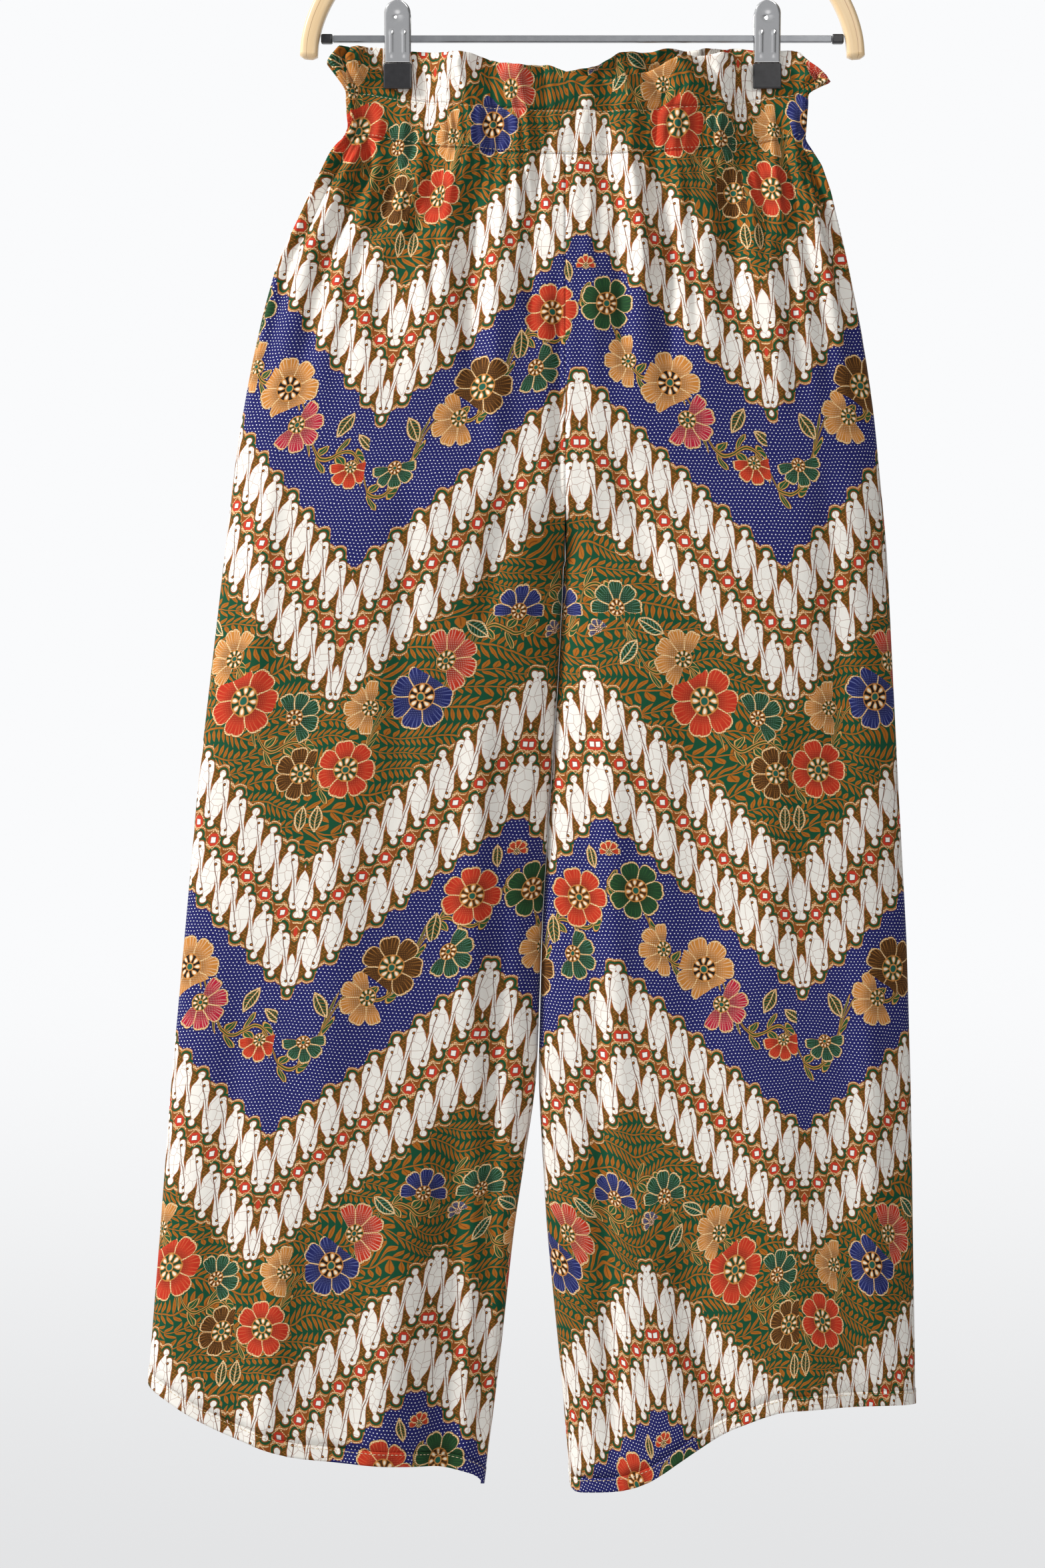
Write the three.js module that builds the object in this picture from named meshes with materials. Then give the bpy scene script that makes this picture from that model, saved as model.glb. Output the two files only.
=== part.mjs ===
// Lounge pants with a gathered paper-bag waist, held by the two clips of a wooden hanger.
// Millimetres, +Z up. The front of the cloth faces -Y and +X is to the viewer's right.
// The origin is the top of the inside of the hook, where a rail carries the whole thing.
import * as THREE from "three";

// Cloth: wall thicknesses and the gap left at every seam
const SEAM_GAP = 0.3;
const HALF_GAP = SEAM_GAP / 2;
const PANEL_WALL = 1.2;
const CASING_WALL = 2.4;
const RUFFLE_WALL = 1.6;
const HEM_WALL = 1.8;
const FACING_WALL = 1.0;

// Cloth: heights
const UPPER_STITCH_Z = -233;
const LOWER_STITCH_Z = -264;
const CROTCH_Z = -563;
const CROTCH_CURVE = 72;
const HEM_Z = -1150;
const HEM_DEPTH = 10;
const SEAT_SEAM_X = -12;
const INNER_LEG_GAP = 1.6;

// Hanger
const HALF_HANGER = 192;
const BAR_Z = -195;
const BAR_SIDE = 4.6;
const BAR_HALF_LENGTH = 174.8;
const CAP_LENGTH = 8.2;
const CAP_SIDE = 6.6;
const WOOD_WIDTH = 12.5;
const WOOD_DEPTH = 12;
const WOOD_TOP_Z = -82;
const HOOK_WIRE = 4;
const HOOK_INSIDE = 19;
const CLIP_X = 129.5;
const CLIP_WIDTH = 18;
const CLIP_HEIGHT = 43;
const CLIP_PLATE = 0.9;
const CLIP_TILT = 0.16;
const PAD_WIDTH = 20;
const PAD_HEIGHT = 18;
const PAD_DEPTH = 3;
const PAD_TOP_Z = -212.6;
const SLEEVE_RADIUS = 5;
const SLEEVE_BORE = 3.6;
const SLEEVE_LENGTH = 12;

// Silhouette of each side of the garment and the inner edge of each leg, from the waist down
const LEFT_OUTER = [
  { z: -200, x: -170 }, { z: -207, x: -180 }, { z: -222, x: -171 }, { z: -229, x: -166 },
  { z: -258, x: -163 }, { z: -272, x: -174 }, { z: -300, x: -189 }, { z: -349, x: -213 },
  { z: -388, x: -224 }, { z: -426, x: -232 }, { z: -476, x: -241 }, { z: -553, x: -250 },
  { z: -717, x: -269 }, { z: -937, x: -288 }, { z: -1048, x: -296 }, { z: -1215, x: -309 },
];
const RIGHT_OUTER = [
  { z: -200, x: 151 }, { z: -210, x: 166 }, { z: -218, x: 175 }, { z: -233, x: 158 },
  { z: -266, x: 156 }, { z: -283, x: 167 }, { z: -303, x: 174 }, { z: -352, x: 186 },
  { z: -402, x: 196 }, { z: -457, x: 204 }, { z: -553, x: 213 }, { z: -717, x: 221 },
  { z: -828, x: 227 }, { z: -937, x: 230 }, { z: -1215, x: 234 },
];
const LEG_MIDDLE = [
  { z: -563, left: -13, right: -13 }, { z: -646, left: -17, right: -17 },
  { z: -717, left: -22, right: -22 }, { z: -800, left: -28, right: -28 },
  { z: -898, left: -32, right: -31 }, { z: -987, left: -48, right: -25 },
  { z: -1076, left: -59, right: -15 }, { z: -1215, left: -78, right: -3 },
];
// How far the front and back stand off the middle plane, and how boxy the section is there
const FULLNESS = [
  { z: -200, front: 17, back: 11, boxy: 0.9 }, { z: -233, front: 15, back: 10, boxy: 0.9 },
  { z: -266, front: 15, back: 11, boxy: 0.9 }, { z: -310, front: 24, back: 17, boxy: 0.8 },
  { z: -400, front: 31, back: 24, boxy: 0.7 }, { z: -560, front: 33, back: 26, boxy: 0.65 },
  { z: -800, front: 27, back: 23, boxy: 0.6 }, { z: -1215, front: 31, back: 25, boxy: 0.6 },
];
// Top edge of the ruffle across the waist
const RUFFLE_TOP = {
  front: [
    { x: -185, z: -207 }, { x: -168, z: -201 }, { x: -145, z: -201 }, { x: -130, z: -203 },
    { x: -112, z: -204.4 }, { x: -79, z: -208 }, { x: -57, z: -214 }, { x: -43, z: -217 },
    { x: -24, z: -216 }, { x: -12, z: -221 }, { x: 10, z: -226 }, { x: 25, z: -226 },
    { x: 49, z: -219 }, { x: 67, z: -210 }, { x: 111, z: -206 }, { x: 129, z: -204 },
    { x: 147, z: -203 }, { x: 160, z: -207 }, { x: 180, z: -218 },
  ],
  back: [
    { x: -185, z: -207 }, { x: -168, z: -201 }, { x: -130, z: -203 }, { x: -80, z: -206 },
    { x: -40, z: -213 }, { x: -12, z: -216 }, { x: 8, z: -212 }, { x: 26, z: -203 },
    { x: 60, z: -200.5 }, { x: 104, z: -201 }, { x: 129, z: -204 }, { x: 147, z: -203 },
    { x: 160, z: -207 }, { x: 180, z: -218 },
  ],
};
// Height of the hem from the side seam (at 0) to the inseam (at 1)
const HEM_LINE = {
  left_front: [
    { at: 0, z: -1134 }, { at: 0.15, z: -1146 }, { at: 0.3, z: -1166 }, { at: 0.45, z: -1185 },
    { at: 0.6, z: -1190 }, { at: 0.8, z: -1194 }, { at: 0.92, z: -1201 }, { at: 1, z: -1209 },
  ],
  left_back: [
    { at: 0, z: -1134 }, { at: 0.3, z: -1156 }, { at: 0.7, z: -1184 }, { at: 1, z: -1209 },
  ],
  right_front: [
    { at: 0, z: -1151 }, { at: 0.3, z: -1150 }, { at: 0.44, z: -1153 }, { at: 0.52, z: -1166 },
    { at: 0.6, z: -1183 }, { at: 0.68, z: -1203 }, { at: 0.75, z: -1210 }, { at: 0.92, z: -1212 },
    { at: 1, z: -1206 },
  ],
  right_back: [
    { at: 0, z: -1151 }, { at: 0.3, z: -1154 }, { at: 0.6, z: -1166 }, { at: 1, z: -1206 },
  ],
};
// The largest folds: where each starts and ends, how deep it is (negative goes in) and how wide
const FOLDS = [
  { face: "front", x1: -81, z1: -262, x2: -74, z2: -470, depth: -5, width: 8 },
  { face: "front", x1: -66, z1: -270, x2: -60, z2: -520, depth: 3.5, width: 9 },
  { face: "front", x1: -125, z1: -262, x2: -150, z2: -440, depth: -4, width: 9 },
  { face: "front", x1: -158, z1: -285, x2: -198, z2: -440, depth: -3.5, width: 8 },
  { face: "front", x1: 52, z1: -262, x2: 62, z2: -450, depth: -4.5, width: 8 },
  { face: "front", x1: 100, z1: -262, x2: 106, z2: -400, depth: -4, width: 8 },
  { face: "front", x1: 138, z1: -245, x2: 150, z2: -390, depth: -4.5, width: 7 },
  { face: "front", x1: -160, z1: -640, x2: -190, z2: -1010, depth: 4, width: 22 },
  { face: "front", x1: 75, z1: -560, x2: 84, z2: -960, depth: -3.5, width: 20 },
  { face: "front", x1: -88, z1: -900, x2: -103, z2: -1230, depth: -9, width: 14 },
  { face: "front", x1: -125, z1: -960, x2: -150, z2: -1230, depth: 5, width: 18 },
  { face: "front", x1: 62, z1: -980, x2: 112, z2: -1230, depth: -9, width: 17 },
  { face: "front", x1: 120, z1: -900, x2: 168, z2: -1220, depth: 5, width: 24 },
  { face: "back", x1: -90, z1: -262, x2: -98, z2: -500, depth: -5, width: 9 },
  { face: "back", x1: -140, z1: -262, x2: -170, z2: -430, depth: -4, width: 9 },
  { face: "back", x1: 40, z1: -262, x2: 48, z2: -470, depth: -5, width: 9 },
  { face: "back", x1: 110, z1: -262, x2: 132, z2: -440, depth: -4, width: 9 },
  { face: "back", x1: -120, z1: -640, x2: -185, z2: -1225, depth: -7, width: 20 },
  { face: "back", x1: 95, z1: -700, x2: 128, z2: -1225, depth: -7, width: 20 },
];
// Gathers of one quarter of the waist, drawn in by the elastic
const GATHERS_PER_QUARTER = 7;
const GATHER_UNEVEN = 0.35;
const GATHER_DEPTH = [
  { z: -200, deep: 5.5 }, { z: -215, deep: 3.6 }, { z: -233, deep: 1.5 }, { z: -264, deep: 1.6 },
  { z: -285, deep: 3 }, { z: -330, deep: 2 }, { z: -400, deep: 0.7 }, { z: -470, deep: 0 },
];
// Side-seam pocket mouths: the front edge lies back from the side seam there
const POCKET_TOP = -289;
const POCKET_BOTTOM = -423;
const POCKET_RECESS = { left: 0.062, right: 0.085 };
const FACING_INSET = 2.1;
const FACING_COLUMNS = [0, 1, 2, 3, 4];

// Mesh density, in pieces across a quarter of the garment and down its length
const WAIST_STEPS = 28;
const PANEL_STEPS = 14;
const GATHERED_ROWS = [LOWER_STITCH_Z - HALF_GAP, POCKET_TOP];
const POCKET_ROWS = [-303, -322, -344, -366, -388, -408, POCKET_BOTTOM];
const LEG_ROWS = [-462, -497, -530, -563, -612, -690, -780, -880, -980, -1062];

const COLOURS = {
  cloth: { color: 0x6b4a26, roughness: 0.85, metalness: 0 },
  wood: { color: 0xd9b98a, roughness: 0.5, metalness: 0 },
  steel: { color: 0xb9bcc0, roughness: 0.25, metalness: 1 },
  rubber: { color: 0x15161a, roughness: 0.45, metalness: 0 },
};

const mix = (a, b, t) => a + (b - a) * t;
const clamp01 = (t) => Math.min(1, Math.max(0, t));
const smooth = (t) => clamp01(t) ** 2 * (3 - 2 * clamp01(t));
const ramp = (from, to, value) => smooth((value - from) / (to - from));

// Value of a table's column at a key, eased between the two rows around it
function look(table, key, column, at) {
  const last = table.length - 1;
  const rising = table[last][key] > table[0][key];
  const past = (row) => (rising ? at <= row[key] : at >= row[key]);
  const next = table.findIndex(past);
  if (next === 0) return table[0][column];
  if (next < 0) return table[last][column];
  const [a, b] = [table[next - 1], table[next]];
  return mix(a[column], b[column], (at - a[key]) / (b[key] - a[key]));
}

// How tightly a clip squeezes front and back together, from 0 to 1
function pinch(x, z) {
  const across = 1 - ramp(PAD_WIDTH / 2 + 9, PAD_WIDTH / 2 + 26, Math.abs(Math.abs(x) - CLIP_X));
  return across * (1 - ramp(-236, -350, z));
}

// Middle line of the cloth wall without its gathers and folds, in a level section
function section(side, face, u, z, wall, halfGap) {
  const leg = ramp(CROTCH_Z + CROTCH_CURVE, CROTCH_Z, z);
  const outer = look(side === "left" ? LEFT_OUTER : RIGHT_OUTER, "z", "x", z);
  const clear = halfGap + leg * (PANEL_WALL / 2 + INNER_LEG_GAP - HALF_GAP);
  const middle = z > CROTCH_Z ? SEAT_SEAM_X : look(LEG_MIDDLE, "z", side, z);
  const inner = middle + (side === "left" ? -clear : clear);
  const end = (Math.PI / 2) * (1 + leg);
  const share = (1 - Math.cos(u * end)) / (1 - Math.cos(end));
  const x = mix(outer, inner, share);
  const full = look(FULLNESS, "z", face, z);
  const boxy = look(FULLNESS, "z", "boxy", z);
  const free = HALF_GAP + full * Math.max(0, Math.sin(u * end)) ** boxy;
  const held = HALF_GAP + SEAM_GAP / 2 + wall / 2;
  const squeeze = pinch(x, z) * ramp(0, 0.08, u);
  const off = mix(free, held, squeeze);
  const room = Math.max(0, off - held);
  return { x, y: face === "front" ? -off : off, squeeze, room };
}

// Gathers and folds: how far the wall stands out of its section, zero at every seam
function relief(side, face, u, z, base) {
  const seam = Math.min(ramp(0, 0.16, u), ramp(1, 0.86, u));
  const flip = (side === "left" ? 0 : 1.3) + (face === "front" ? 0 : 2.1);
  const uneven = GATHER_UNEVEN * Math.sin(2 * Math.PI * 2 * u + flip);
  const wave = Math.cos(2 * Math.PI * GATHERS_PER_QUARTER * u + 2 * uneven + flip);
  let out = look(GATHER_DEPTH, "z", "deep", z) * wave * (1 - base.squeeze);
  for (const fold of FOLDS) {
    if (fold.face !== face) continue;
    const down = (z - fold.z1) / (fold.z2 - fold.z1);
    const fade = ramp(0, 0.25, down) * ramp(1, 0.7, down);
    const away = (base.x - mix(fold.x1, fold.x2, down)) / fold.width;
    out += fold.depth * fade * Math.exp(-away * away) * (1 - base.squeeze);
  }
  return Math.max(out * seam, -base.room);
}

// Height of a point: the waist sags between the clips, the ruffle and hem follow their own edges
function heightOf(side, face, u, z, x) {
  const sag = (face === "front" ? 14 : 6) * clamp01(1 - (x / 150) ** 2);
  const hem = look(HEM_LINE[side + "_" + face], "at", "z", u) - HEM_Z;
  if (z > UPPER_STITCH_Z) {
    const up = (z - UPPER_STITCH_Z) / (-200 - UPPER_STITCH_Z);
    return mix(UPPER_STITCH_Z - sag, look(RUFFLE_TOP[face], "x", "z", x), up);
  }
  const drop = clamp01((z - LOWER_STITCH_Z) / (HEM_Z - LOWER_STITCH_Z));
  return z - sag * (1 - ramp(0, 0.3, drop)) + hem * ramp(0.45, 1, drop);
}

// A point on the middle of the cloth wall, and the direction out of the cloth there
function clothPoint(side, face, u, z, wall, halfGap) {
  const bare = (across) => section(side, face, across, z, wall, halfGap);
  const step = 0.004;
  const [a, b] = [bare(clamp01(u - step)), bare(clamp01(u + step))];
  const along = new THREE.Vector2(b.x - a.x, b.y - a.y).normalize();
  const turn = (side === "left") === (face === "front") ? 1 : -1;
  const out = new THREE.Vector2(along.y, -along.x).multiplyScalar(turn);
  const base = bare(u);
  const lift = relief(side, face, u, z, base);
  const x = base.x + out.x * lift;
  const y = base.y + out.y * lift;
  return new THREE.Vector3(x, y, heightOf(side, face, u, z, base.x));
}

function clothNormal(side, face, u, z, wall, halfGap) {
  const [du, dz] = [0.006, 1.5];
  const at = (across, height) => clothPoint(side, face, across, height, wall, halfGap);
  const across = at(clamp01(u + du), z).sub(at(clamp01(u - du), z));
  const down = at(u, z - dz).sub(at(u, z + dz));
  const normal = across.cross(down).normalize();
  if ((side === "left") === (face === "front")) normal.negate();
  const leg = ramp(CROTCH_Z + CROTCH_CURVE, CROTCH_Z, z);
  if (u < 1e-6) normal.set(side === "left" ? -1 : 1, 0, 0);
  if (u > 1 - 1e-6 && halfGap > 0) {
    const inward = (side === "left" ? 1 : -1) * Math.sin((leg * Math.PI) / 2);
    const ahead = (face === "front" ? -1 : 1) * Math.cos((leg * Math.PI) / 2);
    normal.set(inward, ahead, 0);
  }
  return normal;
}

// Triangles of the strip between two rows, which may have different numbers of points
function strip(a, b, indices) {
  let [i, j] = [0, 0];
  while (i < a.at.length - 1 || j < b.at.length - 1) {
    const nextA = i < a.at.length - 1 ? a.at[i + 1] : Infinity;
    const nextB = j < b.at.length - 1 ? b.at[j + 1] : Infinity;
    if (nextA <= nextB) indices.push(a.first + i, b.first + j, a.first + ++i);
    else indices.push(a.first + i, b.first + j, b.first + ++j);
  }
}

function signedVolume(points, indices) {
  const corner = (i) => new THREE.Vector3().fromArray(points, indices[i] * 3);
  let sum = 0;
  for (let i = 0; i < indices.length; i += 3) {
    sum += corner(i).dot(corner(i + 1).cross(corner(i + 2)));
  }
  return sum;
}

// A closed wall through rows of points: each row lists its places across and gives point and normal
function wallGeometry(rows, thickness) {
  const points = [];
  const indices = [];
  const layer = (offset) =>
    rows.map((row, r) => {
      const first = points.length / 3;
      for (const at of row.at) {
        const { point, normal } = row.place(at);
        if (r === 0 || r === rows.length - 1) normal.setZ(0).normalize();
        points.push(...point.clone().addScaledVector(normal, offset));
      }
      return { at: row.at, first };
    });
  const outside = layer(thickness / 2);
  const inside = layer(-thickness / 2);
  for (let r = 0; r + 1 < rows.length; r++) {
    strip(outside[r], outside[r + 1], indices);
    const flipped = [];
    strip(inside[r], inside[r + 1], flipped);
    for (let i = 0; i < flipped.length; i += 3) {
      indices.push(flipped[i], flipped[i + 2], flipped[i + 1]);
    }
    const ends = (row) => [row.first, row.first + row.at.length - 1];
    const [o0, o1] = ends(outside[r]);
    const [p0, p1] = ends(outside[r + 1]);
    const [i0, i1] = ends(inside[r]);
    const [j0, j1] = ends(inside[r + 1]);
    indices.push(o0, i0, p0, i0, j0, p0, o1, p1, i1, i1, p1, j1);
  }
  const rim = (out, inn, turned) => {
    for (let i = 0; i + 1 < out.at.length; i++) {
      const [a, b, c, d] = [out.first + i, out.first + i + 1, inn.first + i, inn.first + i + 1];
      indices.push(...(turned ? [a, c, b, b, c, d] : [a, b, c, b, d, c]));
    }
  };
  rim(outside[0], inside[0], false);
  rim(outside[rows.length - 1], inside[rows.length - 1], true);
  if (signedVolume(points, indices) < 0) {
    for (let i = 0; i < indices.length; i += 3) {
      [indices[i + 1], indices[i + 2]] = [indices[i + 2], indices[i + 1]];
    }
  }
  const geometry = new THREE.BufferGeometry();
  geometry.setAttribute("position", new THREE.Float32BufferAttribute(points, 3));
  geometry.setIndex(indices);
  return geometry;
}

const steps = (count, from = 0, to = 1) =>
  Array.from({ length: count + 1 }, (_, i) => mix(from, to, i / count));

function piece(name, geometry, colour) {
  const made = new THREE.Mesh(geometry, new THREE.MeshStandardMaterial(COLOURS[colour]));
  made.name = name;
  return made;
}

// How far the front edge lies back from the side seam at a height, as a share of the panel
function pocketRecess(side, face, z) {
  if (face === "back" || z >= POCKET_TOP || z <= POCKET_BOTTOM) return 0;
  const down = (POCKET_TOP - z) / (POCKET_TOP - POCKET_BOTTOM);
  return POCKET_RECESS[side] * Math.sin(Math.PI * down) ** 0.6;
}

// One of the four leg panels, from the casing's lower stitching to the hem's stitching
function panel(side, face) {
  const bottom = HEM_Z + HEM_DEPTH + HALF_GAP;
  const heights = [...GATHERED_ROWS, ...POCKET_ROWS, ...LEG_ROWS, bottom];
  const rows = heights.map((z, i) => {
    const recess = pocketRecess(side, face, z);
    const count = i < GATHERED_ROWS.length ? WAIST_STEPS : PANEL_STEPS;
    const place = (at) => {
      const u = mix(recess, 1, at);
      const point = clothPoint(side, face, u, z, PANEL_WALL, HALF_GAP);
      return { point, normal: clothNormal(side, face, u, z, PANEL_WALL, HALF_GAP) };
    };
    return { at: steps(count), place };
  });
  return piece(face + "_" + side, wallGeometry(rows, PANEL_WALL), "cloth");
}

// A band of cloth between two heights of one leg's front or back
function hem(side, face) {
  const rows = [HEM_Z + HEM_DEPTH - HALF_GAP, HEM_Z].map((z) => {
    const place = (u) => ({
      point: clothPoint(side, face, u, z, HEM_WALL, HALF_GAP),
      normal: clothNormal(side, face, u, z, HEM_WALL, HALF_GAP),
    });
    return { at: steps(PANEL_STEPS), place };
  });
  return piece("hem_" + face + "_" + side, wallGeometry(rows, HEM_WALL), "cloth");
}

// A band that runs across the whole front or back of the waist, from side seam to side seam
function waistBand(name, face, heights, wall) {
  const rows = heights.map((z) => {
    const place = (across) => {
      const side = across <= 1 ? "left" : "right";
      const u = across <= 1 ? across : 2 - across;
      return {
        point: clothPoint(side, face, u, z, wall, 0),
        normal: clothNormal(side, face, u, z, wall, 0),
      };
    };
    return { at: steps(2 * WAIST_STEPS, 0, 2), place };
  });
  return piece(name + "_" + face, wallGeometry(rows, wall), "cloth");
}

// The strip of the pocket that shows behind the front edge of its mouth
function pocketFacing(side) {
  const rows = POCKET_ROWS.map((z) => {
    const place = (column) => {
      const u = column === 0 ? 0 : mix(pocketRecess(side, "front", z), 1, column / PANEL_STEPS);
      const normal = clothNormal(side, "front", u, z, PANEL_WALL, HALF_GAP);
      const point = clothPoint(side, "front", u, z, PANEL_WALL, HALF_GAP);
      return { point: point.addScaledVector(normal, -FACING_INSET), normal };
    };
    return { at: FACING_COLUMNS, place };
  });
  return piece("pocket_facing_" + side, wallGeometry(rows, FACING_WALL), "cloth");
}

// A bar of round or square section swept along a path
function swept(outline, path, count) {
  return new THREE.ExtrudeGeometry(outline, { extrudePath: path, steps: count, bevelEnabled: false });
}

function roundOutline(radius, sides) {
  const turn = (i) => (2 * Math.PI * i) / sides;
  const corner = (i) => new THREE.Vector2(radius * Math.cos(turn(i)), radius * Math.sin(turn(i)));
  return new THREE.Shape(Array.from({ length: sides }, (_, i) => corner(i)));
}

function chamferedOutline(width, height, cut) {
  const [w, h] = [width / 2, height / 2];
  const corners = [
    [w, -h + cut], [w, h - cut], [w - cut, h], [-w + cut, h],
    [-w, h - cut], [-w, -h + cut], [-w + cut, -h], [w - cut, -h],
  ];
  return new THREE.Shape(corners.map(([x, y]) => new THREE.Vector2(x, y)));
}

// The bent wooden arms, one bow from end to end
function woodenBow() {
  const half = [
    { x: HALF_HANGER, z: -209 }, { x: HALF_HANGER - 1.5, z: -194 }, { x: HALF_HANGER - 7, z: -176 },
    { x: HALF_HANGER - 19, z: -155 }, { x: HALF_HANGER - 44, z: -129 }, { x: HALF_HANGER - 86, z: -106 },
    { x: 52, z: -92 },
  ];
  const crown = new THREE.Vector3(0, 0, WOOD_TOP_Z - WOOD_WIDTH / 2);
  const left = half.map((p) => new THREE.Vector3(-p.x, 0, p.z));
  const right = half.map((p) => new THREE.Vector3(p.x, 0, p.z)).reverse();
  const path = new THREE.CatmullRomCurve3([...left, crown, ...right]);
  return piece("hanger_wood", swept(chamferedOutline(WOOD_WIDTH, WOOD_DEPTH, 2.5), path, 44), "wood");
}

// The hook: a straight shank, then a round bend over the rail
function hook() {
  const ring = HOOK_INSIDE + HOOK_WIRE / 2;
  const centre = -HOOK_INSIDE;
  const shank = [WOOD_TOP_Z + SEAM_GAP, -66, -54].map((z) => new THREE.Vector3(0, 0, z));
  const bend = steps(16, -62, 205).map((degrees) => {
    const turn = (degrees * Math.PI) / 180;
    return new THREE.Vector3(ring * Math.cos(turn), 0, centre + ring * Math.sin(turn));
  });
  const path = new THREE.CatmullRomCurve3([...shank, ...bend]);
  return piece("hook", swept(roundOutline(HOOK_WIRE / 2, 8), path, 44), "steel");
}

function bar() {
  const made = piece("hanger_bar", new THREE.BoxGeometry(2 * BAR_HALF_LENGTH, BAR_SIDE, BAR_SIDE), "steel");
  made.position.z = BAR_Z;
  return made;
}

function barCap(side, sign) {
  const made = piece("bar_cap_" + side, new THREE.BoxGeometry(CAP_LENGTH, CAP_SIDE, CAP_SIDE), "rubber");
  made.position.set(sign * (BAR_HALF_LENGTH + SEAM_GAP + CAP_LENGTH / 2), 0, BAR_Z);
  return made;
}

// Outline of a clip's plate: straight sides and a round top
function plateOutline() {
  const half = CLIP_WIDTH / 2;
  const shape = new THREE.Shape();
  shape.moveTo(-half, 0);
  shape.lineTo(half, 0);
  shape.lineTo(half, CLIP_HEIGHT - half);
  shape.absarc(0, CLIP_HEIGHT - half, half, 0, Math.PI, false);
  shape.lineTo(-half, 0);
  return shape;
}

// One clip: two sprung plates with rubber pads, on a sleeve that slides along the bar
function clip(side, sign) {
  const group = new THREE.Group();
  group.position.x = sign * CLIP_X;
  const padInside = RUFFLE_WALL + SEAM_GAP + SEAM_GAP;
  for (const [face, way] of [["front", -1], ["back", 1]]) {
    const name = "clip_" + side + "_" + face;
    const flat = { depth: CLIP_PLATE, bevelEnabled: false, curveSegments: 7 };
    const plate = piece(name + "_plate", new THREE.ExtrudeGeometry(plateOutline(), flat), "steel");
    plate.rotation.x = Math.PI / 2 - way * CLIP_TILT;
    const foot = padInside + (way < 0 ? 0.4 : 0.4 + CLIP_PLATE);
    plate.position.set(0, way * foot, PAD_TOP_Z + SEAM_GAP + 0.2);
    const pad = piece(name + "_pad", new THREE.BoxGeometry(PAD_WIDTH, PAD_DEPTH, PAD_HEIGHT), "rubber");
    pad.position.set(0, way * (padInside + PAD_DEPTH / 2), PAD_TOP_Z - PAD_HEIGHT / 2);
    group.add(plate, pad);
  }
  const ring = roundOutline(SLEEVE_RADIUS, 16);
  ring.holes.push(new THREE.Path(roundOutline(SLEEVE_BORE, 16).getPoints()));
  const tube = new THREE.ExtrudeGeometry(ring, { depth: SLEEVE_LENGTH, bevelEnabled: false });
  const sleeve = piece("clip_" + side + "_sleeve", tube, "steel");
  sleeve.rotation.y = Math.PI / 2;
  sleeve.position.set(-SLEEVE_LENGTH / 2, 0, BAR_Z);
  group.add(sleeve);
  return group;
}

const SIDES = ["left", "right"];
const FACES = ["front", "back"];
const garment = new THREE.Group();
for (const face of FACES) {
  garment.add(waistBand("ruffle", face, [-200, -216, UPPER_STITCH_Z + HALF_GAP], RUFFLE_WALL));
  garment.add(waistBand("casing", face, [UPPER_STITCH_Z - HALF_GAP, LOWER_STITCH_Z + HALF_GAP], CASING_WALL));
  for (const side of SIDES) garment.add(panel(side, face), hem(side, face));
}
for (const side of SIDES) garment.add(pocketFacing(side));

const hanger = new THREE.Group();
hanger.add(woodenBow(), hook(), bar());
hanger.add(barCap("left", -1), barCap("right", 1), clip("left", -1), clip("right", 1));

const pants = new THREE.Group();
pants.add(garment, hanger);
export default pants;
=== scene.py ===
# %% [markdown]
# # Lounge pants on a wooden clip hanger
# Wide-leg cotton pants with a paper-bag waist hang from the two clips of a bowed wooden hanger.
# The solids give the size and place of every piece. This lesson covers them with thin cloth, prints the
# cloth with its zigzag batik, sews it, and gives the hanger its wood, steel and rubber.

# %% Load the frame
import math

import bmesh
import bpy
import numpy as np
from mathutils import Matrix, Vector


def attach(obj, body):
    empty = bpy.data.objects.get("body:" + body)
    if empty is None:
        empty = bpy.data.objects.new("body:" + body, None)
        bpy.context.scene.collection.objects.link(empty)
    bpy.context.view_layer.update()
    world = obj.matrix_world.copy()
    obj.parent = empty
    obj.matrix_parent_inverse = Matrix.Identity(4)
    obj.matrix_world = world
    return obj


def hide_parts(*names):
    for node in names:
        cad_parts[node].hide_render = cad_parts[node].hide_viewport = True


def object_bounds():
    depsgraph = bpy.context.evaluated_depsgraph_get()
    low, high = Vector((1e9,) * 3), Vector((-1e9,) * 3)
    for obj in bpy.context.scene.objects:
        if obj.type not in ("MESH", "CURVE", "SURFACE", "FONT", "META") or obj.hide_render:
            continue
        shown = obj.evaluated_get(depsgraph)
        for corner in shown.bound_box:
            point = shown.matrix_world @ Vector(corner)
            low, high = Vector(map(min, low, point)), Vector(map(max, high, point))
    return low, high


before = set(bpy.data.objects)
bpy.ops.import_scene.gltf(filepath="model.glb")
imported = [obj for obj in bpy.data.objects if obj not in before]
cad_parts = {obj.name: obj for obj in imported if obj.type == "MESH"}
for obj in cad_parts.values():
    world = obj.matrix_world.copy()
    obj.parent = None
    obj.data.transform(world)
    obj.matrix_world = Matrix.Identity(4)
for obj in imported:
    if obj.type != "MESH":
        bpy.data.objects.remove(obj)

cad_low, cad_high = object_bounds()
MM = 0.001
print("object", [round(x, 3) for x in cad_low], "to", [round(x, 3) for x in cad_high])

# %% [markdown]
# ## Camera
# The photograph looks straight at the cloth and cuts off the top of the hanger. A long lens keeps the legs
# parallel. Its distance follows from how much of the cloth the picture shows.

# %% Place the camera
PICTURE_HEIGHT = 1.100
PICTURE_CENTRE = Vector((-0.042, 0, -0.7175))
LENS = 85
SENSOR = 36

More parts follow.
